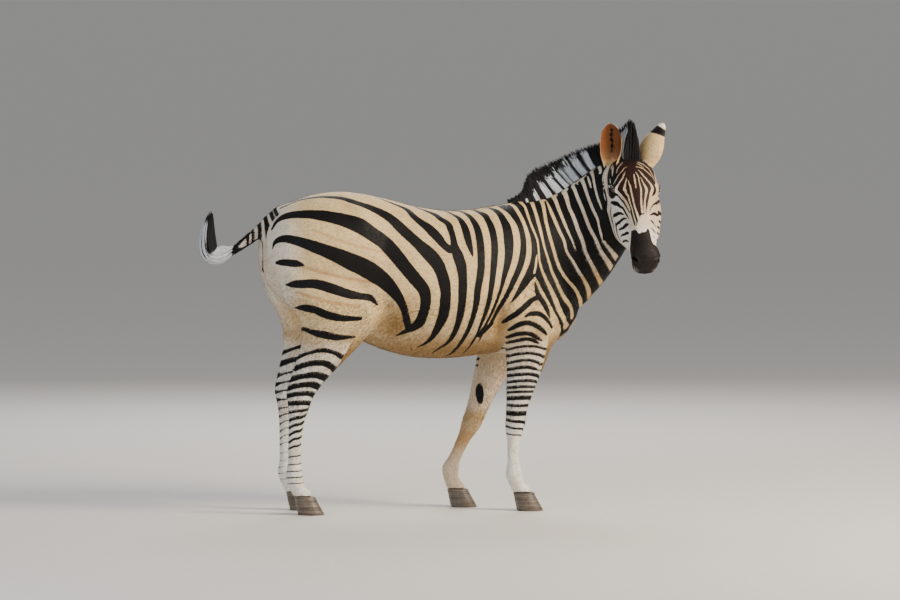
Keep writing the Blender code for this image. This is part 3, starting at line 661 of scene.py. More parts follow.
ears = {
    "length": 0.176,
    # share of the length, half width, depth of the cup, half its spread in degrees
    "rightRows": ((0.0, 0.032, 0.030, 128), (0.10, 0.038, 0.033, 122), (0.24, 0.044, 0.034, 108),
    (0.42, 0.047, 0.032, 98),
                  (0.60, 0.046, 0.028, 92), (0.77, 0.040, 0.023, 88), (0.88, 0.031, 0.017, 86),
                  (0.95, 0.021, 0.011, 84),
                  (1.0, 0.009, 0.006, 82)),
    "leftRows": ((0.0, 0.042, 0.034, 128), (0.10, 0.049, 0.035, 122), (0.24, 0.055, 0.034, 108),
    (0.40, 0.054, 0.031, 98),
                 (0.55, 0.047, 0.028, 92), (0.70, 0.036, 0.022, 88), (0.82, 0.027, 0.017, 86),
                 (0.92, 0.019, 0.012, 85),
                 (0.97, 0.012, 0.009, 84), (1.0, 0.005, 0.005, 82)),
    "right": ((0.016, 0.004, -0.080), (-0.09, 0.50), (-0.30, 1.0)),
    "left": ((0.006, -0.002, 0.073), (0.51, 0.0), (0.55, -1.0)),
}


def earFrame(side):
    root, lean, turn = ears[side]
    along = (Vector((0, 0, 1)) + headAcross * lean[0] + headFront * lean[1]).normalized()
    if side == "left":
        along = (Vector((0, 0, 1)) + headAcross * lean[0]).normalized()
    opening = headAcross * turn[0] + headFront * turn[1]
    opening = (opening - along * opening.dot(along)).normalized()
    return headPlace(*root), along, opening, along.cross(opening).normalized()


def makeEar(side):
    # a shell of skin and cartilage 4 mm thick with a rolled edge; closed, so that it joins the skin
    root, along, opening, across = (np.array(v) for v in earFrame(side))
    rows = curveThrough(ears[side + "Rows"], 5)
    rows = np.vstack([rows[0] * (0, 0.9, 0.9, 1) + (-0.10, 0, 0, 0), rows])
    rings = []
    count = 20
    for share, width, depth, spread in rows:
        wall = 0.0044 * (1 - 0.45 * max(share, 0))
        centre = root + along * (ears["length"] * share) - opening * (0.012 * math.sin(math.pi * max(share,
            0)))
        outerRing, innerRing = [], []
        for k in range(count + 1):
            angle = -math.pi / 2 + math.radians(spread) * (2 * k / count - 1)
            c, s = math.cos(angle), math.sin(angle)
            thin = wall * (1 - 0.45 * abs(2 * k / count - 1) ** 3)
            outerRing.append(centre + across * (width * c) + opening * (depth * (s + 0.4)))
            innerRing.append(centre + across * ((width - thin) * c) + opening
                * ((depth - thin) * s + depth * 0.4))
        rings.append(outerRing + innerRing[::-1])
    n = len(rings[0])
    vertices = [p for ring in rings for p in ring]
    faces = []
    for i in range(len(rings) - 1):
        for k in range(n):
            a, b = i * n + k, i * n + (k + 1) % n
            faces.append((a, b, b + n, a + n))
    half = n // 2
    for k in range(half - 1):   # the strips that close both ends, outer to inner
        faces.append((k + 1, k, n - 1 - k, n - 2 - k))
        top = (len(rings) - 1) * n
        faces.append((top + k, top + k + 1, top + n - 2 - k, top + n - 1 - k))
    mesh = bpy.data.meshes.new("ear")
    mesh.from_pydata([tuple(v) for v in vertices], [], faces)
    bm = bmesh.new()
    bm.from_mesh(mesh)
    bmesh.ops.recalc_face_normals(bm, faces=bm.faces)
    bm.to_mesh(mesh)
    bm.free()
    obj = addObject("ear_" + side, mesh)
    return applied(obj, "SUBSURF", levels=1, render_levels=1)


def markEar(obj, side):
    # the cup's inside, painted orange as sunlight shining through the ear (less of it near the base), a black
    # slit of hair in it, the black band behind and the white tip
    root, along, opening, across = (np.array(v) for v in earFrame(side))
    points, normals = places(obj.data), normalsOf(obj.data)
    local = (points - root) @ np.array([across, opening, along]).T
    share = local[:, 2] / ears["length"]
    depth = np.interp(share, [r[0] for r in ears[side + "Rows"]], [r[2] for r in ears[side + "Rows"]])
    centre = root + along * local[:, 2:3] + opening * (depth * 0.4 - 0.012
        * np.sin(math.pi * np.clip(share, 0, 1)))[:, None]
    facingIn = ((centre - points) * normals).sum(1) > 0
    ragged = 0.0030 * np.sin(share * 41) + 0.0022 * np.sin(share * 83 + local[:, 0] * 300)
    slit = np.minimum(0.0055 + ragged - np.abs(local[:, 0] + 0.002 * np.sin(share * 13)),
        np.minimum(share - 0.20, 0.84 - share) * 0.06)
    band = np.minimum(share - 0.68, 0.88 - share) * ears["length"] + local[:, 0] * 0.12
    store(obj.data, "stripe", np.where(facingIn, slit, band))
    store(obj.data, "earInner", facingIn * smoothStep(-0.05, 0.08, share)
        * (1 - 0.45 * smoothStep(0.35, 0.0, share)))
    store(obj.data, "white", np.where(facingIn, 0.0, smoothStep(0.85, 0.93, share)))
    store(obj.data, "onEar", np.ones(len(points)))
    store(obj.data, "bare", np.zeros(len(points)))


def joinEars(obj):
    # both ears grown into the skin, with the seam worked smooth; marks pass over by matching vertices
    names = ("stripe", "earInner", "white", "onEar", "bare")
    bare = taken(obj.data, "bare")
    marked = [(p, (-0.02, 0.0, 0.0, 0.0, v)) for p, v in zip(places(obj.data)[bare > 0.001],
        bare[bare > 0.001])]
    for side in ("right", "left"):
        ear = makeEar(side)
        markEar(ear, side)
        marked += list(zip(places(ear.data), zip(*(taken(ear.data, name) for name in names))))
        before = len(obj.data.vertices)
        applied(obj, "BOOLEAN", operation="UNION", object=ear, solver="MANIFOLD")
        print("ear joined", side, before, len(ear.data.vertices), len(obj.data.vertices))
        bpy.data.objects.remove(ear)
    mesh = obj.data
    known = KDTree(len(marked))
    for i, (place, _) in enumerate(marked):
        known.insert(place, i)
    known.balance()
    points, edges = places(mesh), edgesOf(mesh)
    found = np.tile((-0.02, 0.0, 0.0, 0.0, 0.0), (len(points), 1))
    for i in np.where(np.linalg.norm(points - np.array(poll), axis=1) < 0.62)[0]:
        _, match, gap = known.find(points[i])
        if gap < 2e-5:
            found[i] = marked[match][1]
    for name, column in zip(names, found.T):
        store(mesh, name, column)
    onEar = found[:, 3]
    seam = np.unique(edges[(onEar[edges[:, 0]] > 0.5) != (onEar[edges[:, 1]] > 0.5)])
    tree = KDTree(len(seam))
    for i in seam:
        tree.insert(points[i], int(i))
    tree.balance()
    weight = np.zeros(len(points))
    for i in np.where(np.linalg.norm(points - np.array(poll), axis=1) < 0.19)[0]:
        weight[i] = 1 - smoothStep(0.003, 0.014, tree.find(points[i])[2])
    relaxed(mesh, 10, weight, 0.5)


# stripes: strokes in centimetres on the side of the body (forward, up, half width)

flankStrokes = {
    "croup": ((-66, 130, .3), (-60, 132, 1.0), (-50, 133.8, 1.2), (-45, 133.8, 1.4), (-40, 133.2, 1.6),
    (-35, 131.5, 1.9),
              (-30, 129.7, 2.2), (-25.5, 127.7, 2.3), (-21, 125, 2.4), (-16, 120, 2.5), (-10.9, 115, 2.5),
              (-5.8, 110, 3.1),
              (-2.6, 106, 2.9), (-.9, 102, 2.6), (.2, 98, 2.6), (.7, 94, 2.3), (.6, 90, 2.4),
              (.3, 86, 2.4), (-.7, 82, 2.2),
              (-3.6, 75, 1.2), (-6.2, 72, .7), (-8.9, 70.3, .3)),
    "spineSide": ((-25, 133.6, .4), (-18, 130.9, 1.1), (-13.5, 129, 1.4), (-11.5, 127.4, 1.6),
    (-10, 125.3, 1.8),
                  (-7.8, 123.3, 2.0), (-5.2, 121.2, 2.3), (-3, 118.9, 2.4), (-1, 116.4, 2.2),
                  (.8, 113.9, 1.8), (3.2, 111.8, 1.8)),
    "saddle": ((-12, 130.7, .3), (-7, 129, .9), (-3.5, 127.6, 1.2), (-.3, 126.2, 1.5), (1.8, 124.3, 1.6),
    (4.3, 122.4, 1.6),
               (5, 119.7, 1.5), (5.4, 116.3, 1.4), (5.6, 113.1, 1.8), (6.4, 110, 2.4), (7.1, 107.6, 2.5),
               (7.8, 105, 2.4),
               (8.2, 100, 2.0), (8.1, 95, 2.0), (7.9, 90, 1.8), (7.4, 85, 1.7), (6.5, 80, 1.4),
               (4.9, 75, 1.1), (3.1, 72, .8),
               (.6, 70, .6), (-2, 67.4, .3)),
    "wedge": ((3, 128.4, .3), (6, 127.2, .8), (8, 126, .8), (10, 124.5, 1.1), (11, 122, 1.5),
    (11.5, 119.3, 1.7),
              (11.7, 117, 1.7), (12, 114.5, 1.5), (12.4, 112.5, 1.2), (12.8, 110.4, .8), (13.2, 108.6, .2)),
    "rump": ((-70.3, 120.5, .6), (-68, 124, 1.4), (-64, 126.3, 2.0), (-57, 127, 2.3), (-50, 126.4, 2.8),
    (-45, 125.4, 3.0),
             (-40, 124, 3.2), (-35, 122, 3.4), (-30, 118.7, 3.3), (-25, 115.2, 3.2), (-20.5, 110.2, 3.1),
             (-16.6, 105, 2.9),
             (-12.5, 100, 2.8), (-8.6, 95, 2.6), (-7.8, 90, 2.3), (-8.6, 85, 2.2), (-10.7, 80.2, 2.1),
             (-18.5, 75.5, .3)),
    "thigh": ((-70.8, 112.3, .3), (-69.6, 115.5, 1.2), (-66, 116.8, 1.7), (-60, 115.4, 2.1),
    (-55, 113.6, 2.5), (-50, 111.7, 2.8),
              (-45, 109.7, 3.2), (-40, 107.4, 3.6), (-35, 105.2, 3.8), (-30, 102.4, 3.8), (-25, 98.6, 3.3),
              (-21.5, 94.8, 2.7),
              (-18, 90, 1.9), (-16, 85, 1.5), (-14.8, 81, 1.6), (-14, 78.8, 1.6)),
    "buttock": ((-69.6, 106.6, .7), (-68, 106.8, 1.3), (-66, 106.8, 1.5), (-64, 106.6, 1.6),
    (-62, 106.4, 1.5), (-60, 106, .9),
                (-59, 105.7, .3)),
    "leg1": ((-66, 97.5, .3), (-64, 97.7, 1.3), (-62, 97.9, 1.7), (-60, 97.9, 1.8), (-55, 98, 2.0),
    (-50, 96.8, 2.2), (-45, 95.1, 2.1),
             (-40, 93.5, 1.9), (-35, 92.6, 1.5), (-31, 91.8, 1.4), (-28, 89, .5)),
    "leg2": ((-62.2, 87.7, .3), (-60, 87.8, 1.3), (-58, 87.7, 1.7), (-55, 87.2, 1.7), (-50, 85.1, 1.8),
    (-45, 83.8, 1.6), (-40, 83.3, 1.2),
             (-35.5, 83.3, .9)),
    "leg3": ((-61, 79.5, .4), (-59, 79.2, .8), (-55, 77.5, 1.3), (-50, 76.4, 1.7), (-45, 75.4, 1.4),
    (-40, 75.4, .8), (-37, 75.5, .3)),
    "girth1": ((8.5, 128.2, .3), (11.5, 127.6, .7), (13.5, 126.5, .9), (15.3, 124.5, 1.2),
    (16.6, 120.5, 1.6), (17, 115, 1.7),
               (16.8, 108, 1.7), (16.2, 102, 1.7), (14.8, 95, 1.6), (14.3, 90, 1.5), (13.4, 85, 1.3),
               (12.1, 80, 1.2),
               (10.4, 75, 1.0), (8.1, 70, .8), (6.3, 67, .6), (4.6, 66, .3)),
    "girth2": ((17, 128.2, .4), (21, 126, 1.4), (22, 124, 1.4), (23, 120, 1.6), (23.3, 114, 1.6),
    (22.7, 108, 1.6),
               (20.8, 95, 1.3), (19.9, 90, 1.2), (18.6, 85, 1.0), (16.9, 80, .8), (15.5, 75, .6),
               (13.4, 70, .5), (12, 67.5, .3)),
    "girth3": ((23.5, 128.9, .5), (26.5, 127.7, 1.1), (28.4, 125, 1.6), (29.2, 120, 1.6), (29.1, 115, 1.6),
    (28.9, 110, 1.4),
               (28.1, 105, 1.4), (26.8, 100, 1.2), (25.6, 95, 1.0), (23.9, 90, .8), (21.6, 85, .6),
               (19.4, 80, .5),
               (17.9, 75, .4), (17, 72, .2)),
}
# the dark ground of neck and shoulder, a closed outline on the side of the body, with light lines
# laid over it
darkGround = ((24, 134), (28.5, 127), (30, 118), (29.5, 112), (28, 104), (25.5, 97), (22, 88), (18.5, 80),
    (15.5, 75),
              (17, 74), (20, 77), (24, 81.5), (28, 85.5), (33, 90.2), (36, 93), (39, 97), (40.7, 99),
              (42, 97), (43.5, 93.5),
              (45.5, 89.3), (47.2, 86.4), (49, 83), (51, 79.4), (52.5, 76), (54, 73), (59, 76), (64, 84),
              (70, 91), (75, 96),
              (84, 105), (92, 112), (98, 125), (98, 165), (60, 165), (40, 150))
lightLines = {
    "l9": ((27.5, 129.6, .5), (28.9, 128, .8), (30.6, 126, 1.1), (31.6, 124, 1.2), (32.9, 121, 1.4),
    (33.5, 115, 1.5), (32.6, 109, 1.4),
           (31, 104, 1.3), (29, 99.5, 1.1), (27.3, 95, .9), (25.3, 90.5, .6), (23, 86, .4), (20, 80, .2)),
    "l10": ((32.5, 130.2, .6), (35, 129.5, .8), (36.2, 126.5, .9), (37.6, 122, .9), (38.6, 117, 1.0),
    (38.7, 112.5, 1.1),
            (38, 107.5, 1.1), (36.2, 103, 1.0), (34.1, 99, .9), (31.9, 95, .9), (29.4, 90.5, .9),
            (26.5, 86, .8), (23, 81, .5)),
    "l11": ((39, 130.8, .9), (40, 128.7, .6), (40.3, 125, .6), (41.3, 120.5, .6), (43, 115, .5),
    (43.2, 110, .5),
            (43.4, 106, .5), (44.6, 102, .6), (46.4, 98, .7), (48.1, 94, .9), (49.8, 90, 1.1),
            (51.4, 86, 1.2),
            (53.9, 82, 1.2), (57, 78, 1.5)),
    "l12": ((44, 131.8, .9), (44, 127, .7), (45, 119.5, .7), (46, 113, .5), (46.7, 110, .5),
    (47.9, 106, .6),
            (49.1, 102, .7), (50.8, 98, .7), (52.4, 94, .8), (54.6, 90, .9), (58, 86, .9), (59.6, 82, 1.1)),
    "l13": ((48.3, 134, 1.1), (48.2, 130, .8), (48, 123, .7), (49, 116.5, .7), (50.7, 110, .7),
    (51.9, 106, .7),
            (53.6, 102, .7), (56.4, 98, .8), (60.2, 94, .9), (63, 90, 1.0), (65.5, 86, 1.0)),
    "l14": ((50, 131.5, .2), (51, 126.5, .7), (53, 120, .7), (55.3, 114.5, .6), (56.4, 110, .5),
    (59.1, 106, .5),
            (61.5, 102, .6), (64.4, 98, .7), (66.9, 94, 1.0), (68.6, 90, 1.1)),
    "l15": ((53, 136, 1.1), (53.7, 131, .8), (54.5, 127, .7), (56.5, 120.5, .6), (58.5, 115.5, .4),
    (60.5, 110.5, .2)),
    "l16": ((57, 139.5, 1.5), (58.2, 133.5, 1.0), (58.7, 128.5, .7), (60.2, 124.2, .8), (61.7, 119, .8),
    (63.6, 114, .8),
            (64.7, 110, .7), (66.8, 106, .7), (69.2, 102, .9), (71.8, 98, 1.0), (74.5, 95, 1.3)),
    "l17": ((60.5, 142, 1.0), (62, 136, .7), (62.4, 133.5, .7), (63.7, 129, .7), (66.4, 120.5, .7),
    (69, 115.5, .7),
            (72, 109.5, .8), (76, 104.5, 1.1), (79, 101, 1.4)),
    "l18": ((65, 144, 1.1), (65.8, 139, .8), (66.5, 134, .6), (68, 128.5, .6), (70, 123.5, .5),
    (70.5, 121, .4), (71.3, 118, .5), (73, 114, .5),
            (79, 107.3, 1.1), (83, 104, 1.6)),
    "l18b": ((62.8, 143, 1.0), (63.3, 139.5, .5), (63.8, 138, .2)),
    "l19": ((69.8, 146, 1.2), (69.7, 141.5, .6), (69.7, 137, .5), (70.3, 133, .5), (71.2, 129.5, .4),
    (71.8, 127.6, .1)),
    "l19b": ((67.9, 141.5, .3), (68, 139.5, .5), (68.3, 137, .3)),
    "l20": ((73.3, 148, .9), (72.4, 141.5, .6), (72.6, 137, .6), (73.2, 133.5, .6), (74, 129.5, .5),
    (74.6, 125.5, .3)),
    "l21": ((75.6, 148, .7), (75.3, 142, .5), (75, 138, .6), (75.2, 134, .6), (75.4, 130, .5),
    (75.4, 126.5, .3)),
    "shortDash": ((42.2, 108.8, .3), (41.7, 106.5, .5), (41.3, 104, .5), (40.6, 101.6, .5)),
    "chevronLeft": ((41, 99.4, .3), (39.4, 97, 1.0), (37.7, 94.7, 1.1), (35.2, 92, 1.2), (32.8, 89.6, 1.2),
    (30.5, 87.6, 1.3),
                    (27.5, 84.5, 1.3), (24, 80, 1.2), (20, 74, 1.0)),
    "chevronRight": ((40.8, 99.5, .3), (41.9, 97.3, .7), (43.1, 94.4, .8), (44.3, 92, .9),
    (45.7, 89.2, .9), (47.2, 86.4, 1.0),
                     (48.6, 83.6, 1.1), (49.9, 81.3, 1.2), (50.9, 79, 1.4), (52, 76, 1.8)),
}
foreStrokes = {
    "knotRight": ((41, 97.4, .3), (41.6, 94.9, .7), (42.1, 92.6, .8), (43.2, 90.5, .9), (44.6, 88.4, .9),
    (45.8, 86, .8),
                  (46.6, 83.8, .5), (47.1, 82.4, .2)),
    "knotLeft": ((27, 80.8, .5), (29.5, 82.6, .8), (32.2, 84.3, .9), (34.7, 86.2, .9), (36.9, 88, .9),
    (38.8, 89.6, .8),
                 (40.3, 90.5, .7), (42, 91, .7)),
    "arc1": ((36, 83.2, .3), (38.2, 84.2, .7), (40.6, 84.4, .8), (42.8, 84, .8), (44.7, 82.7, .7),
    (46.6, 80.6, .6), (48, 78.3, .4)),
    "arc2": ((29.5, 77.3, .4), (30.8, 78.2, .6), (33, 79.6, .8), (35.9, 80.5, .8), (38.7, 80.2, .8),
    (41.5, 78.9, .8),
             (43.7, 77.3, .7), (45.6, 75.4, .4)),
    "arc3": ((29, 74.2, .4), (30.4, 74.8, .6), (32.8, 75.7, .7), (35.6, 76, .7), (38.4, 75.7, .7),
    (40.9, 74.4, .7), (43.4, 72.8, .3)),
    "arc4": ((29, 71.8, .4), (31, 72.4, .5), (34.8, 73.4, .6), (37.5, 73.6, .6), (40.2, 72.7, .6),
    (42.5, 71.2, .3)),
}
# rings round the legs, in centimetres: height behind, at the middle and in front, half width
foreRings = ((69.0, 70.6, 69.2, .6), (66.2, 67.6, 66.0, .7), (63.2, 64.6, 62.6, .7), (60.4, 61.6, 59.6, .8),
             (57.8, 58.6, 56.6, .8), (55.0, 55.8, 54.6, .7), (52.6, 53.2, 52.6, .7), (50.6, 51.0, 50.8, .6),
             (48.0, 48.4, 48.2, 1.0), (45.2, 45.0, 45.0, .7), (41.9, 41.6, 41.6, 1.1),
             (39.0, 38.2, 37.2, .7),
             (36.2, 35.2, 34.4, .5), (33, 32.4, 32, .3))
hindRings = ((66.0, 69.9, 66.9, 1.0), (62.2, 64.6, 61.6, 1.3), (57.4, 59.4, 56.6, 1.4),
    (53.6, 55.4, 53.0, 1.3),
             (50.4, 51.6, 50.2, 1.1), (47.2, 47.6, 47.0, 1.1), (43.4, 44.2, 45.2, .7),
             (40.0, 41.4, 42.8, .8),
             (36.8, 38.4, 40.2, .7), (33.6, 35.4, 37.0, .7), (30.6, 32.4, 33.8, .6), (28.0, 29.2, 30.4, .5),
             (24.4, 25.0, 25.6, .3), (21.2, 21.6, 22.0, .25), (18.4, 18.7, 19.0, .25),
             (15.8, 16.1, 16.4, .25),
             (13.3, 13.6, 13.8, .2))
# where the legs stand above the height at which they part from the body: height, middle and half
# depth, in centimetres
legTops = {
    "front_right": ((60, 36.6, 6.2), (65, 37.3, 7.0), (70, 37.5, 7.6), (75, 37.6, 8.2), (80, 38, 9)),
    "front_left": ((60, 30.0, 6.4), (65, 31.5, 7.2), (70, 33.0, 7.8), (75, 34.5, 8.4), (80, 36, 9)),
    "hind_right": ((60, -53.6, 7.6), (65, -52.4, 8.8), (70, -51, 10), (75, -50, 11.5), (80, -50, 13)),
    "hind_left": ((60, -55.0, 7.6), (65, -53.8, 8.8), (70, -52.6, 10), (75, -52, 11.5), (80, -52, 13)),
}

# The face, in millimetres: along from the poll, round from the middle line to the left, half width.
# The forehead's dark ground is a closed outline, with light lines laid over it.
faceGround = ((-30, -90), (-30, 90), (20, 95), (60, 90), (90, 84), (110, 80), (125, 76), (140, 72),
    (155, 64), (168, 58),
              (180, 64), (195, 68), (207, 64), (215, 56), (225, 42), (240, 32), (260, 27), (280, 23),
              (300, 18), (310, 8),
              (312, 0), (318, -8), (330, -14), (345, -20), (356, -26), (355, -34), (340, -37), (320, -39),
              (300, -41),
              (275, -43), (255, -45), (240, -48), (220, -55), (205, -62), (198, -72), (198, -90),
              (192, -103), (180, -114),
              (165, -122), (140, -125), (100, -126), (60, -130), (20, -125))
faceLight = {
    "w1": ((105, -34, 1.5), (120, -40, 2.5), (135, -45, 3), (145, -51, 3), (155, -58, 3.5), (170, -66, 5),
    (182, -71, 7),
           (195, -66, 5), (205, -61, 3.5), (220, -55, 3.5), (240, -48, 3.5), (255, -45, 3.5),
           (270, -43, 4), (280, -42, 4)),
    "w2": ((135, -33, 1), (147, -34, 2), (160, -38, 2.5), (175, -42, 4), (185, -45, 5.5), (195, -43, 6),
    (210, -41, 4),
           (220, -37, 3.5), (240, -36, 3), (255, -35, 2.5), (280, -32, 2), (305, -31, 2.5),
           (335, -28, 2.5), (350, -28, 2.5)),
    "w3": ((150, -28, 1), (165, -27, 1.8), (180, -25, 3), (200, -25, 3.5), (225, -24, 3.4),
    (240, -23, 3.4), (255, -23, 3),
           (285, -20, 3.4), (310, -16, 4.5), (330, -14, 4), (350, -14, 4)),
    "w4": ((120, -7, 1), (135, -8, 2.5), (150, -8, 3.4), (162, -8, 3.2), (172, -8, 2.4), (190, -8, 2)),
    "w5": ((112, 0, 1), (122, 2, 2), (135, 5, 2.4), (160, 5, 2), (180, 6, 2.6), (200, 7, 3.2),
    (220, 6, 3.5), (240, 4, 3.5),
           (260, 3, 4), (280, 3, 4.5), (300, 3, 5)),
    "w6": ((140, 12, 1.2), (156, 15, 2.2), (170, 18, 3), (182, 22, 4.5), (192, 25, 6), (203, 26, 6),
    (217, 23, 4.5),
           (234, 20, 3.4), (240, 18, 3.4), (260, 15, 4), (280, 14, 4.5), (300, 12, 5)),
    "w7": ((98, 9, 1), (110, 15, 2), (121, 19, 2.8), (132, 23, 3), (143, 29, 3.5), (155, 35, 3.5),
    (163, 40, 4), (174, 46, 5.5),
           (186, 50, 7), (198, 48, 7.5), (211, 43, 7), (225, 40, 6), (240, 36, 5)),
    "arc1": ((35, 50, 1.5), (36, 58, 2), (46, 66, 2), (60, 74, 2)),
    "arc2": ((62, 12, 1.2), (66, 18, 1.8), (72, 23, 2), (78, 28, 2), (84, 33, 1.5)),
    "arc3": ((50, 18, 1.5), (56, 26, 2), (63, 36, 2.5), (70, 42, 2.5), (78, 48, 2.5), (85, 55, 2.5),
    (98, 58, 2.5),
             (108, 63, 2.5), (120, 70, 2.5)),
    "arc4": ((80, 5, 1.5), (83, 14, 2), (87, 21, 2.5), (92, 30, 2.5), (100, 35, 2.5), (108, 41, 2.5),
    (116, 47, 3),
             (125, 53, 3), (134, 58, 3), (147, 62, 3.5), (158, 68, 4)),
    "grey1": ((22, -54, 1.5), (35, -61, 2.2), (47, -67, 2)),
    "grey2": ((45, -41, 1.5), (58, -49, 2.2), (67, -57, 2.2), (80, -61, 2.2), (94, -65, 1.5)),
    "grey3": ((79, -27, 1.5), (83, -36, 2), (95, -42, 2), (102, -50, 2), (110, -57, 2.2), (117, -64, 3),
    (126, -68, 3.5),
              (135, -74, 3), (142, -79, 2)),
    "earFoot": ((15, -122, 6), (28, -108, 10), (42, -95, 9), (55, -85, 6), (75, -83, 4), (95, -84, 2)),
    "behindJaw": ((20, -150, 2), (60, -154, 3), (100, -158, 3), (130, -160, 3), (160, -162, 1.5)),
    "brow": ((102, -99, 3), (111, -99, 4.5), (120, -99, 3)),
    "eyeCorner": ((124, -117, 4), (131, -108, 5), (138, -100, 6), (147, -90, 5), (156, -81, 3)),
}
cheekDark = {   # the near cheek; the far one takes the same, turned over, beyond its own strokes
    "line1": ((185, -82, 5), (195, -76, 4.5), (208, -70, 3.5), (222, -65, 4), (233, -60, 5), (245, -56, 4),
    (256, -53, 3.5),
              (268, -50, 3), (280, -47, 2.5), (294, -45, 1.5)),
    "line2": ((203, -116, 5), (212, -106, 8), (221, -97, 10), (230, -87, 9), (248, -77, 6), (260, -68, 5),
    (274, -64, 4.5),
              (288, -61, 4), (301, -57, 3), (312, -54, 2)),
    "bar1": ((265, -130, 4), (268, -118, 7), (270, -108, 9), (270, -97, 8), (275, -85, 6), (284, -75, 4),
    (288, -70, 1.5)),
    "bar2": ((308, -126, 6), (307, -108, 6.5), (304, -96, 6), (302, -85, 6), (303, -75, 5), (308, -67, 3),
    (312, -63, 1)),
    "bar3": ((334, -122, 3), (335, -112, 5), (336, -100, 6.5), (335, -88, 8), (333, -76, 9), (334, -66, 6),
    (336, -60, 2)),
    "bar4": ((361, -128, 3), (362, -112, 5), (366, -98, 6), (367, -84, 7), (371, -76, 6), (376, -72, 2)),
    "bar5": ((381, -148, 3), (384, -132, 4.5), (388, -115, 5), (395, -101, 5), (403, -92, 3)),
    "innerArc": ((296, -127, 4), (310, -131, 5), (325, -136, 5), (338, -144, 4.5), (352, -150, 4),
    (368, -158, 3)),
    "outerArc": ((206, -121, 4), (220, -132, 5), (232, -142, 5), (250, -148, 4.5), (275, -146, 5),
    (300, -149, 4.5),
                 (320, -158, 4), (340, -168, 3.5), (355, -176, 3)),
    "underEye": ((196, -90, 4), (190, -104, 4), (175, -118, 4), (150, -130, 4), (120, -136, 3)),
    "temple": ((150, -100, 3), (125, -104, 4), (95, -102, 4), (65, -96, 4), (40, -88, 3)),
    "templeBack": ((140, -118, 3), (110, -122, 4), (80, -118, 4), (50, -108, 4), (25, -100, 3)),
}
farCheekDark = {
    "f1": ((230, 85, 7), (240, 75, 7), (250, 60, 4), (264, 48, 3), (278, 40, 2.2), (300, 32, 1)),
    "f2": ((280, 100, 5), (288, 85, 7), (290, 73, 8), (294, 57, 6), (303, 44, 4), (310, 32, 1.5)),
    "f3": ((333, 35, 2), (334, 40, 5), (335, 46, 6), (338, 56, 5), (341, 65, 3), (344, 78, 2)),
    "f4": ((368, 36, 3), (371, 42, 4), (375, 52, 4), (377, 64, 3), (378, 76, 2)),
    "f5": ((402, 42, 2), (404, 50, 3), (408, 60, 1.5)),
}
# Dark bars across the dock, centimetres forward; the line along the spine and the furrow between the buttocks
dockBars = ((-67.3, .7), (-69, .7), (-71.4, .8), (-74, .8), (-76.8, .7), (-79, .6))
# where the muzzle's dark skin begins: round from the middle line, along from the poll, in millimetres
muzzleEdge = ((-200, 450), (-160, 440), (-120, 430), (-95, 425), (-80, 415), (-70, 405), (-60, 385),
    (-55, 370), (-40, 370),
              (-30, 375), (-25, 390), (-20, 395), (-10, 390), (5, 390), (10, 385), (15, 375), (20, 375),
              (25, 390), (27, 410),
              (30, 435), (35, 445), (60, 448), (120, 455), (200, 460))
# the neck turns towards one side: forward and left of its middle line
neckMiddle = ((0.300, 0.000), (0.520, -0.002), (0.610, -0.010), (0.690, -0.026), (0.755, -0.052),
    (0.802, -0.092), (0.828, -0.140))


def surfaceCaster(mesh, onHead):
    # rays against the finished skin, to lay a stroke on it; the body's strokes pass through the head
    corners = [p.vertices[:] for p in mesh.polygons]
    skinPlaces = [v.co for v in mesh.vertices]
    tree = BVHTree.FromPolygons(skinPlaces, corners)
    bodyTree = BVHTree.FromPolygons(skinPlaces, [c for c in corners if onHead[c[0]] < 0.5])
    headTree = BVHTree.FromPolygons(skinPlaces, [c for c in corners if onHead[c[0]] >= 0.5])

    def side(x, z, sign):
        start = at(x, 1.5 * sign, z)
        hit = bodyTree.ray_cast(start, Vector((0, -sign, 0)), 3.0)[0]
        if hit is None:
            nearest, _, _, gap = bodyTree.find_nearest(at(x, 0.03 * sign, z))
            hit = nearest if gap < 0.035 else None
        return hit

    def face(along, around):
        angle = around / 0.085
        out = headFront * math.cos(angle) + headAcross * math.sin(angle)
        start = headPlace(along, -0.03, 0.0) + out * 0.30
        hit = headTree.ray_cast(start, -out, 0.30)[0]
        return hit if hit is not None else headTree.find_nearest(start - out * 0.2)[0]
    return tree, side, face


def strokeField(points, stroke, place, unit, into, sign, limit=0.02, widen=1.0):
    # the smallest signed distance (positive inside a stroke), joined into the field
    rows = curveThrough(stroke, 4)
    hits = [place(row[0] * unit, row[1] * unit) for row in rows]
    rows = np.array([row for row, hit in zip(rows, hits) if hit is not None])
    if len(rows) < 2:
        return into
    path = np.array([hit[:] for hit in hits if hit is not None])
    gap, where = distanceToPath(points, path)
    half = np.interp(where, np.arange(len(rows)), rows[:, 2] * unit * widen)
    inside = np.clip(half - gap, -limit, limit)
    return np.maximum(into, inside) if sign > 0 else np.minimum(into, -inside)


def insideOutline(x, z, outline, unit):
    # signed distance to a closed outline, positive inside
    corners = np.array(outline, float) * unit
    best, inside = np.full(len(x), 9.0), np.zeros(len(x), bool)
    for a, b in zip(corners, np.roll(corners, -1, axis=0)):
        d = b - a
        t = np.clip(((x - a[0]) * d[0] + (z - a[1]) * d[1]) / (d @ d), 0, 1)
        best = np.minimum(best, np.hypot(x - a[0] - t * d[0], z - a[1] - t * d[1]))
        inside ^= ((a[1] > z) != (b[1] > z)) & (x < d[0] * (z - a[1]) / (d[1] + 1e-12) + a[0])
    return np.clip(np.where(inside, best, -best), -0.03, 0.03)


legs = {"front_right": (-1, foreRings), "front_left": (1, foreRings), "hind_right": (-1, hindRings),
    "hind_left": (1, hindRings)}


# heights at which a leg leaves the body, is wholly leg, and stands free all round, in metres
legJoin = {"top": 0.78, "full": 0.70, "straight": 0.60}


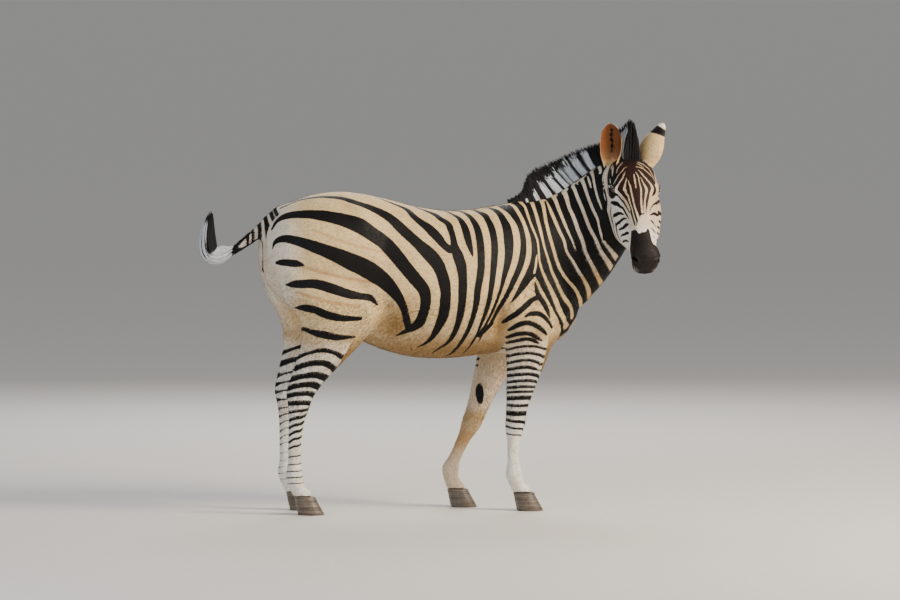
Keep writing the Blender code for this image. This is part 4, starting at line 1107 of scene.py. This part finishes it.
def legShape(points, name):
    # which vertices belong to one leg, and where they stand in its section: back to front, and outwards
    side = legs[name][0]
    body = points - np.array(home)
    tops = np.array(legTops[name]) * 0.01
    middle, half = (np.interp(body[:, 2], tops[:, 0], tops[:, i]) for i in (1, 2))
    low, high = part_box("leg_" + name + "_lower")
    reach = np.where(body[:, 2] < legJoin["straight"], 0.20, half + 0.012)
    taken = (body[:, 2] < legJoin["top"]) & (body[:, 1] * side > 0.0) & (np.abs(body[:, 0]
        - middle) < reach)
    index = np.where(taken)[0]
    p = body[index]
    middle, half = middle[index], half[index]
    along, out = (p[:, 0] - middle) / half, np.clip((p[:, 1] * side - 0.10) / 0.05, -1, 1)
    slot = (p[:, 2] / 0.02).astype(int)
    for k in np.unique(slot[p[:, 2] < legJoin["straight"]]):
        m = (slot == k) & (p[:, 2] < legJoin["straight"])
        for axis, target in ((0, along), (1, out)):
            a, b = p[m, axis].min(), p[m, axis].max()
            target[m] = (p[m, axis] - (a + b) / 2) / max((b - a) / 2, 0.01)
            if axis == 1:
                target[m] *= side
    return index, along, out


# the dark line on the spine and the light band round it, as half widths in metres
backLine = {"darkHalf": 0.009, "lightHalf": 0.022, "reach": 0.06}
# the bare oval inside each fore leg: where it stands, and how it is drawn out upwards
chestnut = {"half": 0.017, "left": 0.240, "right": 0.345, "height": 0.485, "flatten": 0.38}


def paintField(mesh):
    points = places(mesh)
    body = points - np.array(home)
    local = headLocal(points)
    onHead = headShare(points)
    tree, side, face = surfaceCaster(mesh, onHead)
    field = np.full(len(points), -fieldLimit)
    aside = body[:, 1] - np.interp(body[:, 0], *zip(*neckMiddle))
    for sign in (-1, 1):
        mine = np.where(aside * sign > 0)[0]
        p, f = points[mine], field[mine]

        def place(x, z, sign=sign):
            return side(x, z, sign)
        for group, way in ((flankStrokes, 1), (lightLines, -1), (foreStrokes, 1)):
            if group is lightLines:
                f = np.maximum(f, insideOutline(body[mine, 0], body[mine, 2], darkGround, 0.01))
            for stroke in group.values():
                f = strokeField(p, stroke, place, 0.01, f, way, 0.03, 1.4 if group is foreStrokes else 1.0)
        field[mine] = f
    # the line along the spine
    spine = np.array([tree.ray_cast(at(x, 0.0, 2.0), Vector((0, 0, -1)))[0][:] for x in np.linspace(-0.66,
        0.34, 26)])
    gap, _ = distanceToPath(points, spine)
    core = np.clip(backLine["darkHalf"] - gap, -fieldLimit, fieldLimit)
    lined = np.maximum(np.minimum(field, gap - backLine["lightHalf"]), core)
    field = np.where(gap < backLine["reach"], lined, field)
    # the dock's bars and the furrow under it
    onDock = smoothStep(-0.655, -0.675, body[:, 0]) * (body[:, 2] > 1.02) * (np.abs(body[:, 1]) < 0.07)
    bars = np.full(len(points), -fieldLimit)
    for x, half in dockBars:
        bars = np.maximum(bars, (half - np.abs(body[:, 0] * 100 - x)) * 0.01)
    field = np.where(onDock > 0.5, bars, field)
    # a black line down the cleft between the buttocks: painted shade in the cleft, partly the dark skin there
    furrow = (np.abs(body[:, 1]) < 0.03) & (body[:, 0] < -0.55) & (body[:, 2] < 1.19) & (body[:, 2] > 0.72)
    field = np.where(furrow, np.maximum(field, 0.012 - np.abs(body[:, 1])), field)
    # rings on the legs
    onLeg = np.zeros(len(points))
    for name, (sign, rings) in legs.items():
        index, along, out = legShape(points, name)
        onLeg[index] = smoothStep(legJoin["top"], legJoin["full"], body[index, 2])
        z = body[index, 2] * 100
        outer = smoothStep(-0.9, 0.1, out)
        best = np.full(len(index), -fieldLimit)
        for behind, middle, front, half in rings:
            a = np.clip(along, -1, 1)
            centre = middle * (1 - a * a) + np.where(a < 0, behind, front) * a * a
            width = half * ((0.35 + 0.65 * outer) if name != "front_left"
                else (2 * smoothStep(0.0, 0.8, out) - 1))
            best = np.maximum(best, np.clip((width - np.abs(z - centre)) * 0.01, -fieldLimit, fieldLimit))
        keep = z < np.interp(along, (-1, 0, 1), rings[0][:3]) + 1.6
        inner = (out < -0.2) | (np.abs(body[index, 1]) < 0.09)
        field[index] = np.where(keep, best, np.where(inner, -0.02, field[index]))
        if name.startswith("front"):   # the chestnut, a bare dark oval high on the inner side
            ahead = body[index, 0] - chestnut["left" if sign > 0 else "right"]
            oval = chestnut["half"] - np.hypot(ahead, (body[index, 2] - chestnut["height"])
                * chestnut["flatten"])
            field[index] = np.where(out < -0.1, np.maximum(field[index], oval), field[index])
    # the face
    head = np.full(len(points), -fieldLimit)
    near = np.where(onHead > 0.01)[0]
    p, f = points[near], head[near]
    around = 0.085 * np.arctan2(local[:, 2], local[:, 1] + 0.03)
    f = np.maximum(f, insideOutline(local[near, 0], around[near], faceGround, 0.001))
    behindJaw = 0.178 - 0.026 * smoothStep(0.21, 0.17, local[near, 0])
    f = np.maximum(f, np.clip(np.abs(around[near]) - behindJaw, -fieldLimit, fieldLimit))
    for group, way in ((faceLight, -1), (cheekDark, 1), (farCheekDark, 1)):
        for stroke in group.values():
            f = strokeField(p, stroke, face, 0.001, f, way)
    for stroke in list(cheekDark.values()):
        turned = [(s, -b, h) for s, b, h in stroke if b < -96]
        if len(turned) > 1:
            f = strokeField(p, turned, face, 0.001, f, 1)
    head[near] = f
    field = field * (1 - onHead) + head * onHead
    edge = np.array(muzzleEdge) * 0.001
    border = np.interp(around, edge[:, 0], edge[:, 1])
    muzzle = np.clip(local[:, 0] - border, -fieldLimit,
        fieldLimit) * (onHead > 0.5) - 0.02 * (onHead <= 0.5)
    lip = smoothStep(0.505, 0.525, local[:, 0]) * smoothStep(0.022, 0.045,
        np.abs(local[:, 2])) * smoothStep(0.0, -0.02, local[:, 1]) * (onHead > 0.5)
    # plain tan belly and flank fold; painted warm sunlight on the throat, painted shade behind the elbow, tan
    # on the far foreleg's inside; whiter neck, face and lower legs
    onTrunk = (body[:, 0] > -0.62) & (body[:, 0] < 0.60)
    belly = smoothStep(0.82, 0.67, body[:, 2]) * onTrunk * (body[:, 2] > 0.45) * (1 - onLeg)
    fold = np.exp(-(((body[:, 0] + 0.19) / 0.07) ** 2 + ((body[:, 2] - 0.80) / 0.09) ** 2)) * onTrunk
    # painted shade in the hollow behind the elbow
    elbow = 0.9 * np.exp(-(((body[:, 0] - 0.255) / 0.05) ** 2 + ((body[:, 2] - 0.80)
        / 0.10) ** 2)) * onTrunk
    # tan on the far foreleg's inner side, stronger in two bands across it at 0.30 and 0.385 m high
    farInner = 0.38 * (body[:, 1] > 0) * (body[:, 0] > 0) * (body[:, 2] < 0.66) * smoothStep(0.18, 0.10,
        body[:, 1])
    farInnerBands = 0.45 * np.exp(-(((body[:, 2] - 0.30)
        / 0.05) ** 2)) * (farInner > 0) + 0.35 * np.exp(-(((body[:, 2] - 0.385)
        / 0.03) ** 2)) * (farInner > 0)
    # painted warm sunlight on the lower front of the neck
    throat = smoothStep(0.62, 0.72, body[:, 0]) * smoothStep(1.12, 0.98, body[:, 2]) * 0.55
    tan = np.clip(np.maximum.reduce([belly, fold, throat, elbow, farInner + farInnerBands]), 0, 1)
    # painted warm sunlight on the face's left half, forehead to nose: it tans the light hair there and, in
    # the material, browns the dark stripes, which on the forehead are partly brown of their own
    frontal = onHead * smoothStep(0.02, 0.08, local[:, 0]) * (1 - smoothStep(0.34, 0.40, local[:, 0]))
    warm = frontal * smoothStep(-0.075, -0.050, around) * (1 - 0.35 * smoothStep(0.24, 0.33, local[:, 0]))
    tan = np.maximum(tan, 0.42 * warm)
    white = np.clip(smoothStep(0.85, 0.55, body[:, 2]) + onHead * smoothStep(0.05, 0.34, local[:, 0])
        * (1 - 0.75 * warm) * 0.85 + smoothStep(0.50, 0.62, body[:, 0]) * 0.6 * (body[:, 2] > 1.0)
                    + smoothStep(-0.56, -0.68, body[:, 0]) * 0.7, 0, 1) * (1 - tan)
    down = np.clip(smoothStep(0.80, 0.65, body[:, 2]) + onHead, 0, 1)
    shadow = np.full(len(points), -0.03)
    for sign in (-1, 1):
        for x0, z0, x1, z1, half in ((-0.60, 1.055, -0.30, 0.985, 0.007), (-0.62, 0.945, -0.36, 0.885,
                0.006), (-0.55, 1.205, -0.25, 1.11, 0.004)):
            path = np.array([side(x0 + (x1 - x0) * t, z0 + (z1 - z0) * t - 0.01 * math.sin(math.pi * t),
                sign)[:] for t in np.linspace(0, 1, 8)])
            gap, _ = distanceToPath(points, path)
            shadow = np.maximum(shadow, np.clip(half - gap, -0.03, 0.02))
    return {"stripe": field, "muzzle": muzzle, "tan": tan, "white": white, "warm": warm, "down": down,
        "lip": lip, "shadow": shadow}


def store(mesh, name, values):
    held = mesh.attributes.get(name) or mesh.attributes.new(name, "FLOAT", "POINT")
    held.data.foreach_set("value", np.asarray(values, np.float32).ravel())


def taken(mesh, name):
    out = np.empty(len(mesh.vertices), np.float32)
    mesh.attributes[name].data.foreach_get("value", out)
    return out.astype(float)


# hair: closed locks on mesh paths, and short tufts

def heldIn(points):
    # hair reaches no further than the solids do
    low, high = (np.array(corner[:]) for corner in cadBox)
    return np.clip(points, low + 0.0003, high - 0.0003)


def hairMesh(name, paths, radii, flat, sides, attributes, roots, strandScale=(60.0, 6.0)):
    # paths (n, k, 3) and radii (n, k); flat squashes the section; attributes are (n,) or (n, k)
    n, k, _ = paths.shape
    along = np.gradient(paths, axis=1)
    along /= np.maximum(np.linalg.norm(along, axis=2, keepdims=True), 1e-9)
    reference = rng.normal(size=(n, 1, 3))
    first = np.cross(along, reference)
    first /= np.maximum(np.linalg.norm(first, axis=2, keepdims=True), 1e-9)
    second = np.cross(along, first)
    angle = np.arange(sides) * (2 * math.pi / sides)
    ring = (first[:, :, None] * np.cos(angle)[None, None, :, None]
            + second[:, :, None] * (np.sin(angle) * flat)[None, None, :, None])
    vertices = heldIn((paths[:, :, None] + ring * radii[:, :, None, None]).reshape(-1, 3))
    i, j, s = np.meshgrid(np.arange(n), np.arange(k - 1), np.arange(sides), indexing="ij")
    a = (i * k + j) * sides + s
    b = (i * k + j) * sides + (s + 1) % sides
    faces = np.stack([a, b, b + sides, a + sides], -1).reshape(-1, 4)
    mesh = bpy.data.meshes.new(name)
    mesh.vertices.add(len(vertices))
    mesh.vertices.foreach_set("co", vertices.ravel())
    mesh.loops.add(faces.size)
    mesh.loops.foreach_set("vertex_index", faces.ravel().astype(np.int32))
    mesh.polygons.add(len(faces))
    mesh.polygons.foreach_set("loop_start", np.arange(0, faces.size, 4, dtype=np.int32))
    mesh.polygons.foreach_set("loop_total", np.full(len(faces), 4, np.int32))
    mesh.update(calc_edges=True)
    for key, values in attributes.items():
        values = np.broadcast_to(np.asarray(values, float).reshape(n, -1, 1),
            (n, k, sides)) if np.ndim(values) < 2 or values.shape[1] != k \
            else np.broadcast_to(values[:, :, None], (n, k, sides))
        store(mesh, key, values)
    strand = np.zeros((n, k, sides, 3))
    strand[..., 0] = np.arange(n)[:, None, None] * 7.3
    strand[..., 1] = np.linspace(0, strandScale[1], k)[None, :, None]
    strand[..., 2] = np.sin(angle) * 4.0
    held = mesh.attributes.new("strand", "FLOAT_VECTOR", "POINT")
    held.data.foreach_set("vector", strand.astype(np.float32).ravel())
    bakeMap(mesh, roots, k, sides)
    mesh.polygons.foreach_set("use_smooth", np.ones(len(faces), bool))
    return mesh


def bakeMap(mesh, roots, k, sides):
    # every lock is a patch 0.003 across, at its root's place on the unwrapped skin
    layer = mesh.uv_layers.new(name="OFBake")
    index = np.empty(len(mesh.loops), np.int32)
    mesh.loops.foreach_get("vertex_index", index)
    lock = index // (k * sides)
    across = (index % sides) / max(sides - 1, 1)
    along = (index // sides % k) / max(k - 1, 1)
    uv = roots[lock] + np.stack([across, along], 1) * 0.003
    layer.data.foreach_set("uv", uv.astype(np.float32).ravel())


def unwrapped(points, normals):
    # six charts by the way the skin faces, in two rows of three
    low, high = points.min(0), points.max(0)
    share = (points - low) / np.maximum(high - low, 1e-6)
    axis = np.argmax(np.abs(normals), axis=1)
    facing = (np.take_along_axis(normals, axis[:, None], 1)[:, 0] > 0).astype(int)
    rest = np.array([(1, 2), (0, 2), (0, 1)])[axis]
    u = np.take_along_axis(share, rest[:, :1], 1)[:, 0]
    v = np.take_along_axis(share, rest[:, 1:], 1)[:, 0]
    return np.stack([(axis + 0.04 + u * 0.90) / 3, (facing + 0.04 + v * 0.90) / 2], 1)


def finishPiece(obj, material, slot, *nodes):
    obj.data.materials.clear()
    obj.data.materials.append(material)
    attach(obj, "root")
    if nodes:
        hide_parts(*nodes)
    return obj


mane = {
    # share of the way from the withers to the forelock, height of the hair
    "profile": ((0.0, 0.012), (0.08, 0.025), (0.15, 0.050), (0.22, 0.085), (0.30, 0.125), (0.40, 0.140),
    (0.60, 0.125),
                (0.75, 0.105), (0.85, 0.100), (0.92, 0.140), (1.0, 0.168)),
    "neck": ((0.300, 0.000, 1.020, 0.240), (0.420, 0.000, 1.050, 0.268), (0.520, -0.002, 1.085, 0.250),
             (0.610, -0.010, 1.140, 0.222), (0.690, -0.026, 1.210, 0.196), (0.755, -0.052, 1.285, 0.176),
             (0.802, -0.092, 1.350, 0.156), (0.828, -0.140, 1.392, 0.120)),
    "lightBands": ((43.0, .6), (48.0, .9), (53.3, 1.4), (57.8, 1.4), (61.3, 1.1), (63.6, .6), (66.0, 1.2),
    (69.6, 1.2), (73.0, 1.0)),
    "thick": ((0.0, 0.013), (0.5, 0.019), (0.84, 0.023), (0.93, 0.034), (1.0, 0.032)),
    "across": 9, "alongCount": 320, "segments": 7,
}


def maneCrest():
    # foot, way up and way along, from the withers to the forelock
    rows = curveThrough(mane["neck"], 2)[2:]
    crest = []
    for i, r in enumerate(rows):
        centre = np.array(at(*r[:3]))
        along = rows[min(i + 1, len(rows) - 1)][:3] - rows[max(i - 1, 0)][:3]
        along = along / np.linalg.norm(along)
        up = np.array((0, 0, 1.0)) - along * along[2]
        up /= np.linalg.norm(up)
        crest.append((centre + up * (r[3] - 0.022), up, along))
    forward = headAcross.cross(Vector((0, 0, 1))).normalized()
    for s, f, lean in ((-0.005, 0.010, 0.10), (0.040, 0.040, 0.22)):
        crest.append((np.array(headPlace(s, f, 0.0)),
            np.array((Vector((0, 0, 1)) + headFront * lean).normalized()), np.array(forward)))
    return crest


def makeMane(material):
    crest = maneCrest()
    shares = np.linspace(0, 1, len(crest))
    feet, ups, ways = (np.array([c[i] for c in crest]) for i in range(3))
    n = mane["across"] * mane["alongCount"]
    t = np.repeat(np.linspace(0.0, 1.0, mane["alongCount"]), mane["across"]) + rng.normal(0, 0.002, n)
    t = np.clip(t, 0, 1)
    column = np.tile(np.linspace(-1, 1, mane["across"]), mane["alongCount"]) + rng.normal(0, 0.08, n)

    def take(values):
        return np.stack([np.interp(t, shares, values[:, a]) for a in range(3)], 1)
    foot, up, way = take(feet), take(ups), take(ways)
    up /= np.linalg.norm(up, axis=1, keepdims=True)
    side = np.cross(way, up)
    side /= np.linalg.norm(side, axis=1, keepdims=True)
    lean = up + way * (0.15 * (1 - t))[:, None]
    lean /= np.linalg.norm(lean, axis=1, keepdims=True)
    height = 0.022 + np.interp(t, *zip(*mane["profile"]))
    length = height * (0.985 - 0.24 * np.abs(np.clip(column, -1, 1)) ** 2.2) * rng.uniform(0.90, 1.0, n)
    thick = np.interp(t, *zip(*mane["thick"]))
    k = mane["segments"]
    rise = np.linspace(0, 1, k)[None, :]
    spread = np.interp(rise, (0, 0.35, 0.75, 1.0), (0.85, 0.95, 0.72, 0.30))
    paths = (foot[:, None] + side[:, None] * (column * thick)[:, None, None] * spread[..., None]
             + lean[:, None] * (rise * length[:, None])[..., None])
    sway = rng.normal(0, 0.0035, (n, 1, 3)) * (rise ** 2)[..., None]
    paths = paths + sway
    radii = 0.0046 * np.interp(rise, (0, 0.3, 0.8, 1.0), (0.9, 1.0, 0.62, 0.06)) * rng.uniform(0.75, 1.15,
        (n, 1))
    x = (foot[:, 0] - home.x) * 100
    stripe = np.full(n, 0.02)
    for centre, half in mane["lightBands"]:
        stripe = np.minimum(stripe, (np.abs(x - centre) - half) * 0.01)
    fringe = (t > 0.86) & (t < 0.985) & (column > 0.62)
    stripe = np.where(fringe, -0.01, stripe)
    stripe = np.where((t > 0.88) & ~fringe, 0.02, stripe)
    tipLevel = np.where(t > 0.88, 0.95, np.interp(t, (0.25, 0.5, 0.8), (0.62, 0.80, 0.93))) + rng.normal(0,
        0.04, n)
    stripe = np.maximum(np.broadcast_to(stripe[:, None], (n, k)), (rise - tipLevel[:, None]) * 0.06)
    normals = side * np.sign(column + 0.001)[:, None]
    roots = unwrapped(foot, normals)
    mesh = hairMesh("mane_locks", paths, radii, 0.7, 5, {"stripe": stripe}, roots)
    obj = addObject("mane_locks", mesh)
    return finishPiece(obj, material, "mane_hair", "mane")


tailTuft = {
    "path": ((-0.838, 0.006, 1.126, 0.024), (-0.876, 0.008, 1.107, 0.036), (-0.912, 0.010, 1.092, 0.043),
             (-0.940, 0.012, 1.096, 0.046), (-0.954, 0.014, 1.118, 0.047), (-0.956, 0.016, 1.158, 0.044),
             (-0.953, 0.018, 1.204, 0.035), (-0.946, 0.020, 1.248, 0.022), (-0.940, 0.022, 1.282, 0.009)),
    "locks": 820, "segments": 12,
}


def makeTail(material):
    rows = curveThrough(tailTuft["path"], 6)
    shares = np.linspace(0, 1, len(rows))
    n, k = tailTuft["locks"], tailTuft["segments"]
    start = rng.uniform(0.0, 0.35, n)
    stop = np.clip(start + rng.uniform(0.45, 0.75, n), 0, rng.uniform(0.86, 0.995, n))
    t = start[:, None] + (stop - start)[:, None] * np.linspace(0, 1, k)[None, :]
    centre = np.stack([np.interp(t, shares, rows[:, a]) for a in range(3)], -1)
    radius = np.interp(t, shares, rows[:, 3])
    along = np.gradient(centre, axis=1)
    along /= np.linalg.norm(along, axis=2, keepdims=True)
    left = np.array((0, 1.0, 0))
    inward = np.cross(along, left)
    inward /= np.linalg.norm(inward, axis=2, keepdims=True)
    angle = rng.uniform(0, 2 * math.pi, n)[:, None, None]
    out = np.sqrt(rng.uniform(0, 1, n))[:, None, None] * 0.82
    turn = angle + np.linspace(0, 0.5, k)[None, :, None]
    paths = centre + (inward * np.cos(turn) + left * np.sin(turn) * 0.78) * out * radius[...,
        None] * np.interp(
        np.linspace(0, 1, k), (0, 0.2, 1.0), (0.45, 1.0, 0.9))[None, :, None]
    paths = paths + np.array(home)
    radii = 0.0036 * np.interp(np.linspace(0, 1, k), (0, 0.2, 0.7, 1), (0.6, 1.0, 0.7, 0.08))[None,
        :] * rng.uniform(0.7, 1.2, (n, 1))
    outerSide = np.cos(angle[:, 0, 0]) > 0.1
    stripe = np.where(outerSide & (rng.uniform(0, 1, n) < 0.75), -0.01, 0.01)[:, None] + (t - 0.62) * 0.05
    rootUp = np.zeros((n, 3))
    rootUp[:, 2] = 1.0
    mesh = hairMesh("tail_tuft_locks", paths, radii, 0.7, 5, {"stripe": stripe}, unwrapped(paths[:, 0],
        rootUp))
    return finishPiece(addObject("tail_tuft_locks", mesh), material, "tuft_hair", "tail_tuft")


# eyes and hooves

def makeEye(side, material):
    name = "left" if side > 0 else "right"
    place, out, length, rise = eyeFrame(side)
    bm = bmesh.new()
    bmesh.ops.create_icosphere(bm, subdivisions=5, radius=1.0)
    mesh = bpy.data.meshes.new("eye_" + name)
    bm.to_mesh(mesh)
    bm.free()
    unit = places(mesh)
    local = unit @ np.array([length, rise, out]).T
    aside = np.linalg.norm(local[:, :2], axis=1)
    front = local[:, 2] > 0
    cornea = 0.0011 * (1 - smoothStep(0.25, 0.62, aside)) * front
    points = np.array(place) + unit * (eyes["radius"] - 0.0011 + cornea)[:, None]
    setPlaces(mesh, points)
    for p in mesh.polygons:
        p.use_smooth = True
    radius = eyes["radius"]
    store(mesh, "iris", np.where(front, 0.0125 - aside * radius, -0.01))
    store(mesh, "pupil", np.where(front, 0.0062 - np.hypot(local[:, 0] * radius * 0.75,
        local[:, 1] * radius * 1.7), -0.01))
    return finishPiece(addObject("eyeball_" + name, mesh), material, "eye", "eye_" + name)


hoofShape = {"rings": 14, "points": 48}


def makeHoof(name, material):
    # a horn wall that slopes to the toe, with a raised coronet band, low growth rings and bulbs behind
    low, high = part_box("hoof_" + name)
    middle = (low + high) / 2
    coronetX = low.x + 0.0515
    rings = []
    for i in range(hoofShape["rings"] + 1):
        share = i / hoofShape["rings"]
        z = high.z * (1 - share)
        rise = math.sin(share * math.pi / 2)
        swell = 0.0010 * math.sin(share * 38.0) * (share > 0.15) + 0.0018 * math.exp(-((share - 0.06)
            / 0.05) ** 2)
        depth = 0.0425 + 0.0195 * share + swell
        width = 0.0415 + 0.0115 * rise + swell
        ring = []
        for k in range(hoofShape["points"]):
            angle = 2 * math.pi * k / hoofShape["points"]
            c, s = math.cos(angle), math.sin(angle)
            behind = 1 - 0.20 * share if s < 0 else 1.0
            cleft = 0.006 * math.exp(-((angle - 1.5 * math.pi) / 0.16) ** 2) * (0.4 + 0.6 * (1 - share))
            ring.append((coronetX - 0.002 + 0.0235 * share + (depth - cleft) * behind
                * math.copysign(abs(s) ** 0.91, s),
                         middle.y + width * math.copysign(abs(c) ** 0.91, c), z))
        rings.append(ring)
    n = hoofShape["points"]
    vertices = [p for ring in rings for p in ring]
    faces = [(i * n + k, (i + 1) * n + k, (i + 1) * n + (k + 1) % n, i * n + (k + 1) % n)
             for i in range(len(rings) - 1) for k in range(n)]
    faces.append(tuple(range(n)))
    faces.append(tuple(reversed([(len(rings) - 1) * n + k for k in range(n)])))
    mesh = bpy.data.meshes.new("hoof")
    mesh.from_pydata(vertices, [], faces)
    bm = bmesh.new()
    bm.from_mesh(mesh)
    bmesh.ops.recalc_face_normals(bm, faces=bm.faces)
    bm.to_mesh(mesh)
    bm.free()
    for p in mesh.polygons:
        p.use_smooth = len(p.vertices) == 4
    return finishPiece(addObject("horn_hoof_" + name, mesh), material, "hoof_horn", "hoof_" + name)


# coat tufts, where short hair breaks the outline

coatTufts = {"spacing": 0.0052, "length": 0.011, "width": 0.0020}
tuftPieces = ("middle", "quarters", "shoulders", "neck", "head", "front_right", "front_left", "hind_right",
    "hind_left")
carried = ("stripe", "shadow", "tan", "white", "muzzle", "warm", "bare", "earInner", "lip", "down", "onEar")


def layOfHair(points, normals, onEar):
    # the way short hair lies: back and down on the body, down the legs, down the face
    body = points - np.array(home)
    local = headLocal(points)
    head = smoothStep(-0.06, 0.0, local[:, 0]) * smoothStep(-0.20, -0.15, local[:, 1])
    low = smoothStep(0.85, 0.60, body[:, 2])
    way = np.tile(np.array((-0.85, 0.0, -0.45)), (len(points), 1))
    way = way * (1 - low)[:, None] + np.array((-0.15, 0, -1.0)) * low[:, None]
    way = way * (1 - head)[:, None] + np.array(headAlong) * head[:, None]
    way = np.where((onEar > 0.5)[:, None], np.array((0.0, 0.0, 1.0)), way)
    way = way - normals * (way * normals).sum(1)[:, None]
    return way / np.maximum(np.linalg.norm(way, axis=1, keepdims=True), 1e-6), head


def tuftMesh(name, root, normal, way, length, lift, width, attributes):
    # each tuft is a pointed flake of three faces whose foot is sunk in the skin
    n = len(root)
    side = np.cross(way, normal)
    side /= np.maximum(np.linalg.norm(side, axis=1, keepdims=True), 1e-9)
    half = (width / 2)[:, None]
    foot = root - normal * 0.0008
    corners = np.stack([foot - side * half, foot + side * half, foot + normal * half + way * half,
                        root + way * length[:, None] + normal * (length * lift)[:, None]], 1)
    corners = heldIn(corners)
    faces = (np.arange(n)[:, None, None] * 4 + np.array(((0, 2, 3), (2, 1, 3),
        (1, 0, 3)))[None]).reshape(-1, 3)
    mesh = bpy.data.meshes.new(name)
    mesh.vertices.add(n * 4)
    mesh.vertices.foreach_set("co", corners.ravel())
    mesh.loops.add(faces.size)
    mesh.loops.foreach_set("vertex_index", faces.ravel().astype(np.int32))
    mesh.polygons.add(len(faces))
    mesh.polygons.foreach_set("loop_start", np.arange(0, faces.size, 3, dtype=np.int32))
    mesh.polygons.foreach_set("loop_total", np.full(len(faces), 3, np.int32))
    mesh.update(calc_edges=True)
    for key, values in attributes.items():
        store(mesh, key, np.repeat(values, 4))
    uv = unwrapped(root, normal)[faces // 4] + np.array(((0, 0), (1, 0), (0.5, 0.4),
        (0.5, 1)))[faces % 4] * 0.003
    mesh.uv_layers.new(name="OFBake").data.foreach_set("uv", uv.reshape(-1, 2).astype(np.float32).ravel())
    mesh.polygons.foreach_set("use_smooth", np.ones(len(faces), bool))
    return mesh


def makeCoatTufts(skinObject, material):
    mesh = skinObject.data
    mesh.calc_loop_triangles()
    points, normals = places(mesh), normalsOf(mesh)
    tri = np.empty(len(mesh.loop_triangles) * 3, np.int32)
    mesh.loop_triangles.foreach_get("vertices", tri)
    tri = tri.reshape(-1, 3)
    a, b, c = points[tri[:, 0]], points[tri[:, 1]], points[tri[:, 2]]
    area = np.linalg.norm(np.cross(b - a, c - a), axis=1) / 2
    held = {}
    for name in carried:
        values = np.empty(len(points), np.float32)
        mesh.attributes[name].data.foreach_get("value", values)
        held[name] = values
    allowed = held["bare"][tri[:, 0]] < 0.3
    wanted = area / coatTufts["spacing"] ** 2 * allowed * (1 + 4 * held["earInner"][tri[:, 0]])
    count = np.floor(wanted + rng.uniform(0, 1, len(wanted))).astype(int)
    owner = np.repeat(np.arange(len(tri)), count)
    r1, r2 = np.sqrt(rng.uniform(0, 1, len(owner))), rng.uniform(0, 1, len(owner))
    w = np.stack([1 - r1, r1 * (1 - r2), r1 * r2], 1)
    corners = tri[owner]
    root = (points[corners] * w[..., None]).sum(1)
    normal = (normals[corners] * w[..., None]).sum(1)
    normal /= np.linalg.norm(normal, axis=1, keepdims=True)
    values = {name: (v[corners] * w).sum(1) for name, v in held.items()}
    lie, head = layOfHair(root, normal, values["onEar"])
    head = np.maximum(head, values["onEar"])
    body = root - np.array(home)
    small = np.clip(head + smoothStep(0.45, 0.25, body[:, 2]), 0, 1)
    length = coatTufts["length"] * (1 - 0.5 * small) * rng.uniform(0.7, 1.25, len(root))
    lift = rng.uniform(0.10, 0.26, len(root)) + 0.30 * values["earInner"]
    length = length * (1 + 1.6 * values["earInner"])
    side = np.cross(lie, normal)
    side = side + rng.normal(0, 0.15, side.shape)
    way = lie + side * rng.normal(0, 0.12, (len(root), 1))
    region = np.zeros(len(root), int)
    region[body[:, 0] < -0.28] = 1
    region[body[:, 0] > 0.16] = 2
    region[body[:, 0] > 0.50] = 3
    region[head > 0.5] = 4
    lowLeg = body[:, 2] < 0.66
    for number, (fore, left) in enumerate(((True, False), (True, True), (False, False), (False, True))):
        region[lowLeg & ((body[:, 0] > 0) == fore) & ((body[:, 1] >= 0) == left)] = 5 + number
    for number, name in enumerate(tuftPieces):
        m = region == number
        tufts = tuftMesh("coat_tufts_" + name, root[m], normal[m], way[m], length[m], lift[m],
                         coatTufts["width"] * (1 - 0.35 * small[m]),
                         {key: v[m] for key, v in values.items()})
        finishPiece(addObject("coat_tufts_" + name, tufts), material, "coat")
        print("tufts", name, int(m.sum()))


# making it

makeCamera()
coat = coatMaterial()
maneHair = longHairMaterial("coarseManeHair", "#DCE2E6", "#0F0D10")
tailHair = longHairMaterial("coarseTailHair", "#D5D8DA", "#12121A")
horn = hornMaterial()
cornea = eyeMaterial()
makeStage(floorMaterial())
print("stage ready")

skinObject = growSkin()
print("skin grown", len(skinObject.data.polygons))
refineDetails(skinObject)
mesh = skinObject.data
points, normals = places(mesh), normalsOf(mesh)
points = points - normals * (skin["coatDepth"] + 0.0012)
points = raiseForms(points, normals)
setPlaces(mesh, points)
points, rim = shapeLids(places(mesh))
setPlaces(mesh, points)
points, hollow = shapeMuzzle(places(mesh), normalsOf(mesh))
setPlaces(mesh, points)
store(mesh, "bare", np.maximum(rim, hollow))
print("skin shaped", len(mesh.polygons))
joinEars(skinObject)
mesh = skinObject.data
print("ears joined", len(mesh.polygons))

onEar = taken(mesh, "onEar") > 0.5
for name, values in paintField(mesh).items():
    own = taken(mesh, name) if name in ("stripe", "white") else {"shadow": -fieldLimit,
        "muzzle": -fieldLimit, "down": 1.0}.get(name, 0.0)
    store(mesh, name, np.where(onEar, own, values))
for polygon in mesh.polygons:
    polygon.use_smooth = True
finishPiece(skinObject, coat, "coat", *fleshNodes, "ear_right", "ear_left")
print("skin painted")

makeMane(maneHair)
makeTail(tailHair)
print("mane and tail made")
for side in (1, -1):
    makeEye(side, cornea)
for name in ("front_right", "front_left", "hind_right", "hind_left"):
    makeHoof(name, horn)
makeCoatTufts(skinObject, coat)
print("coat made")
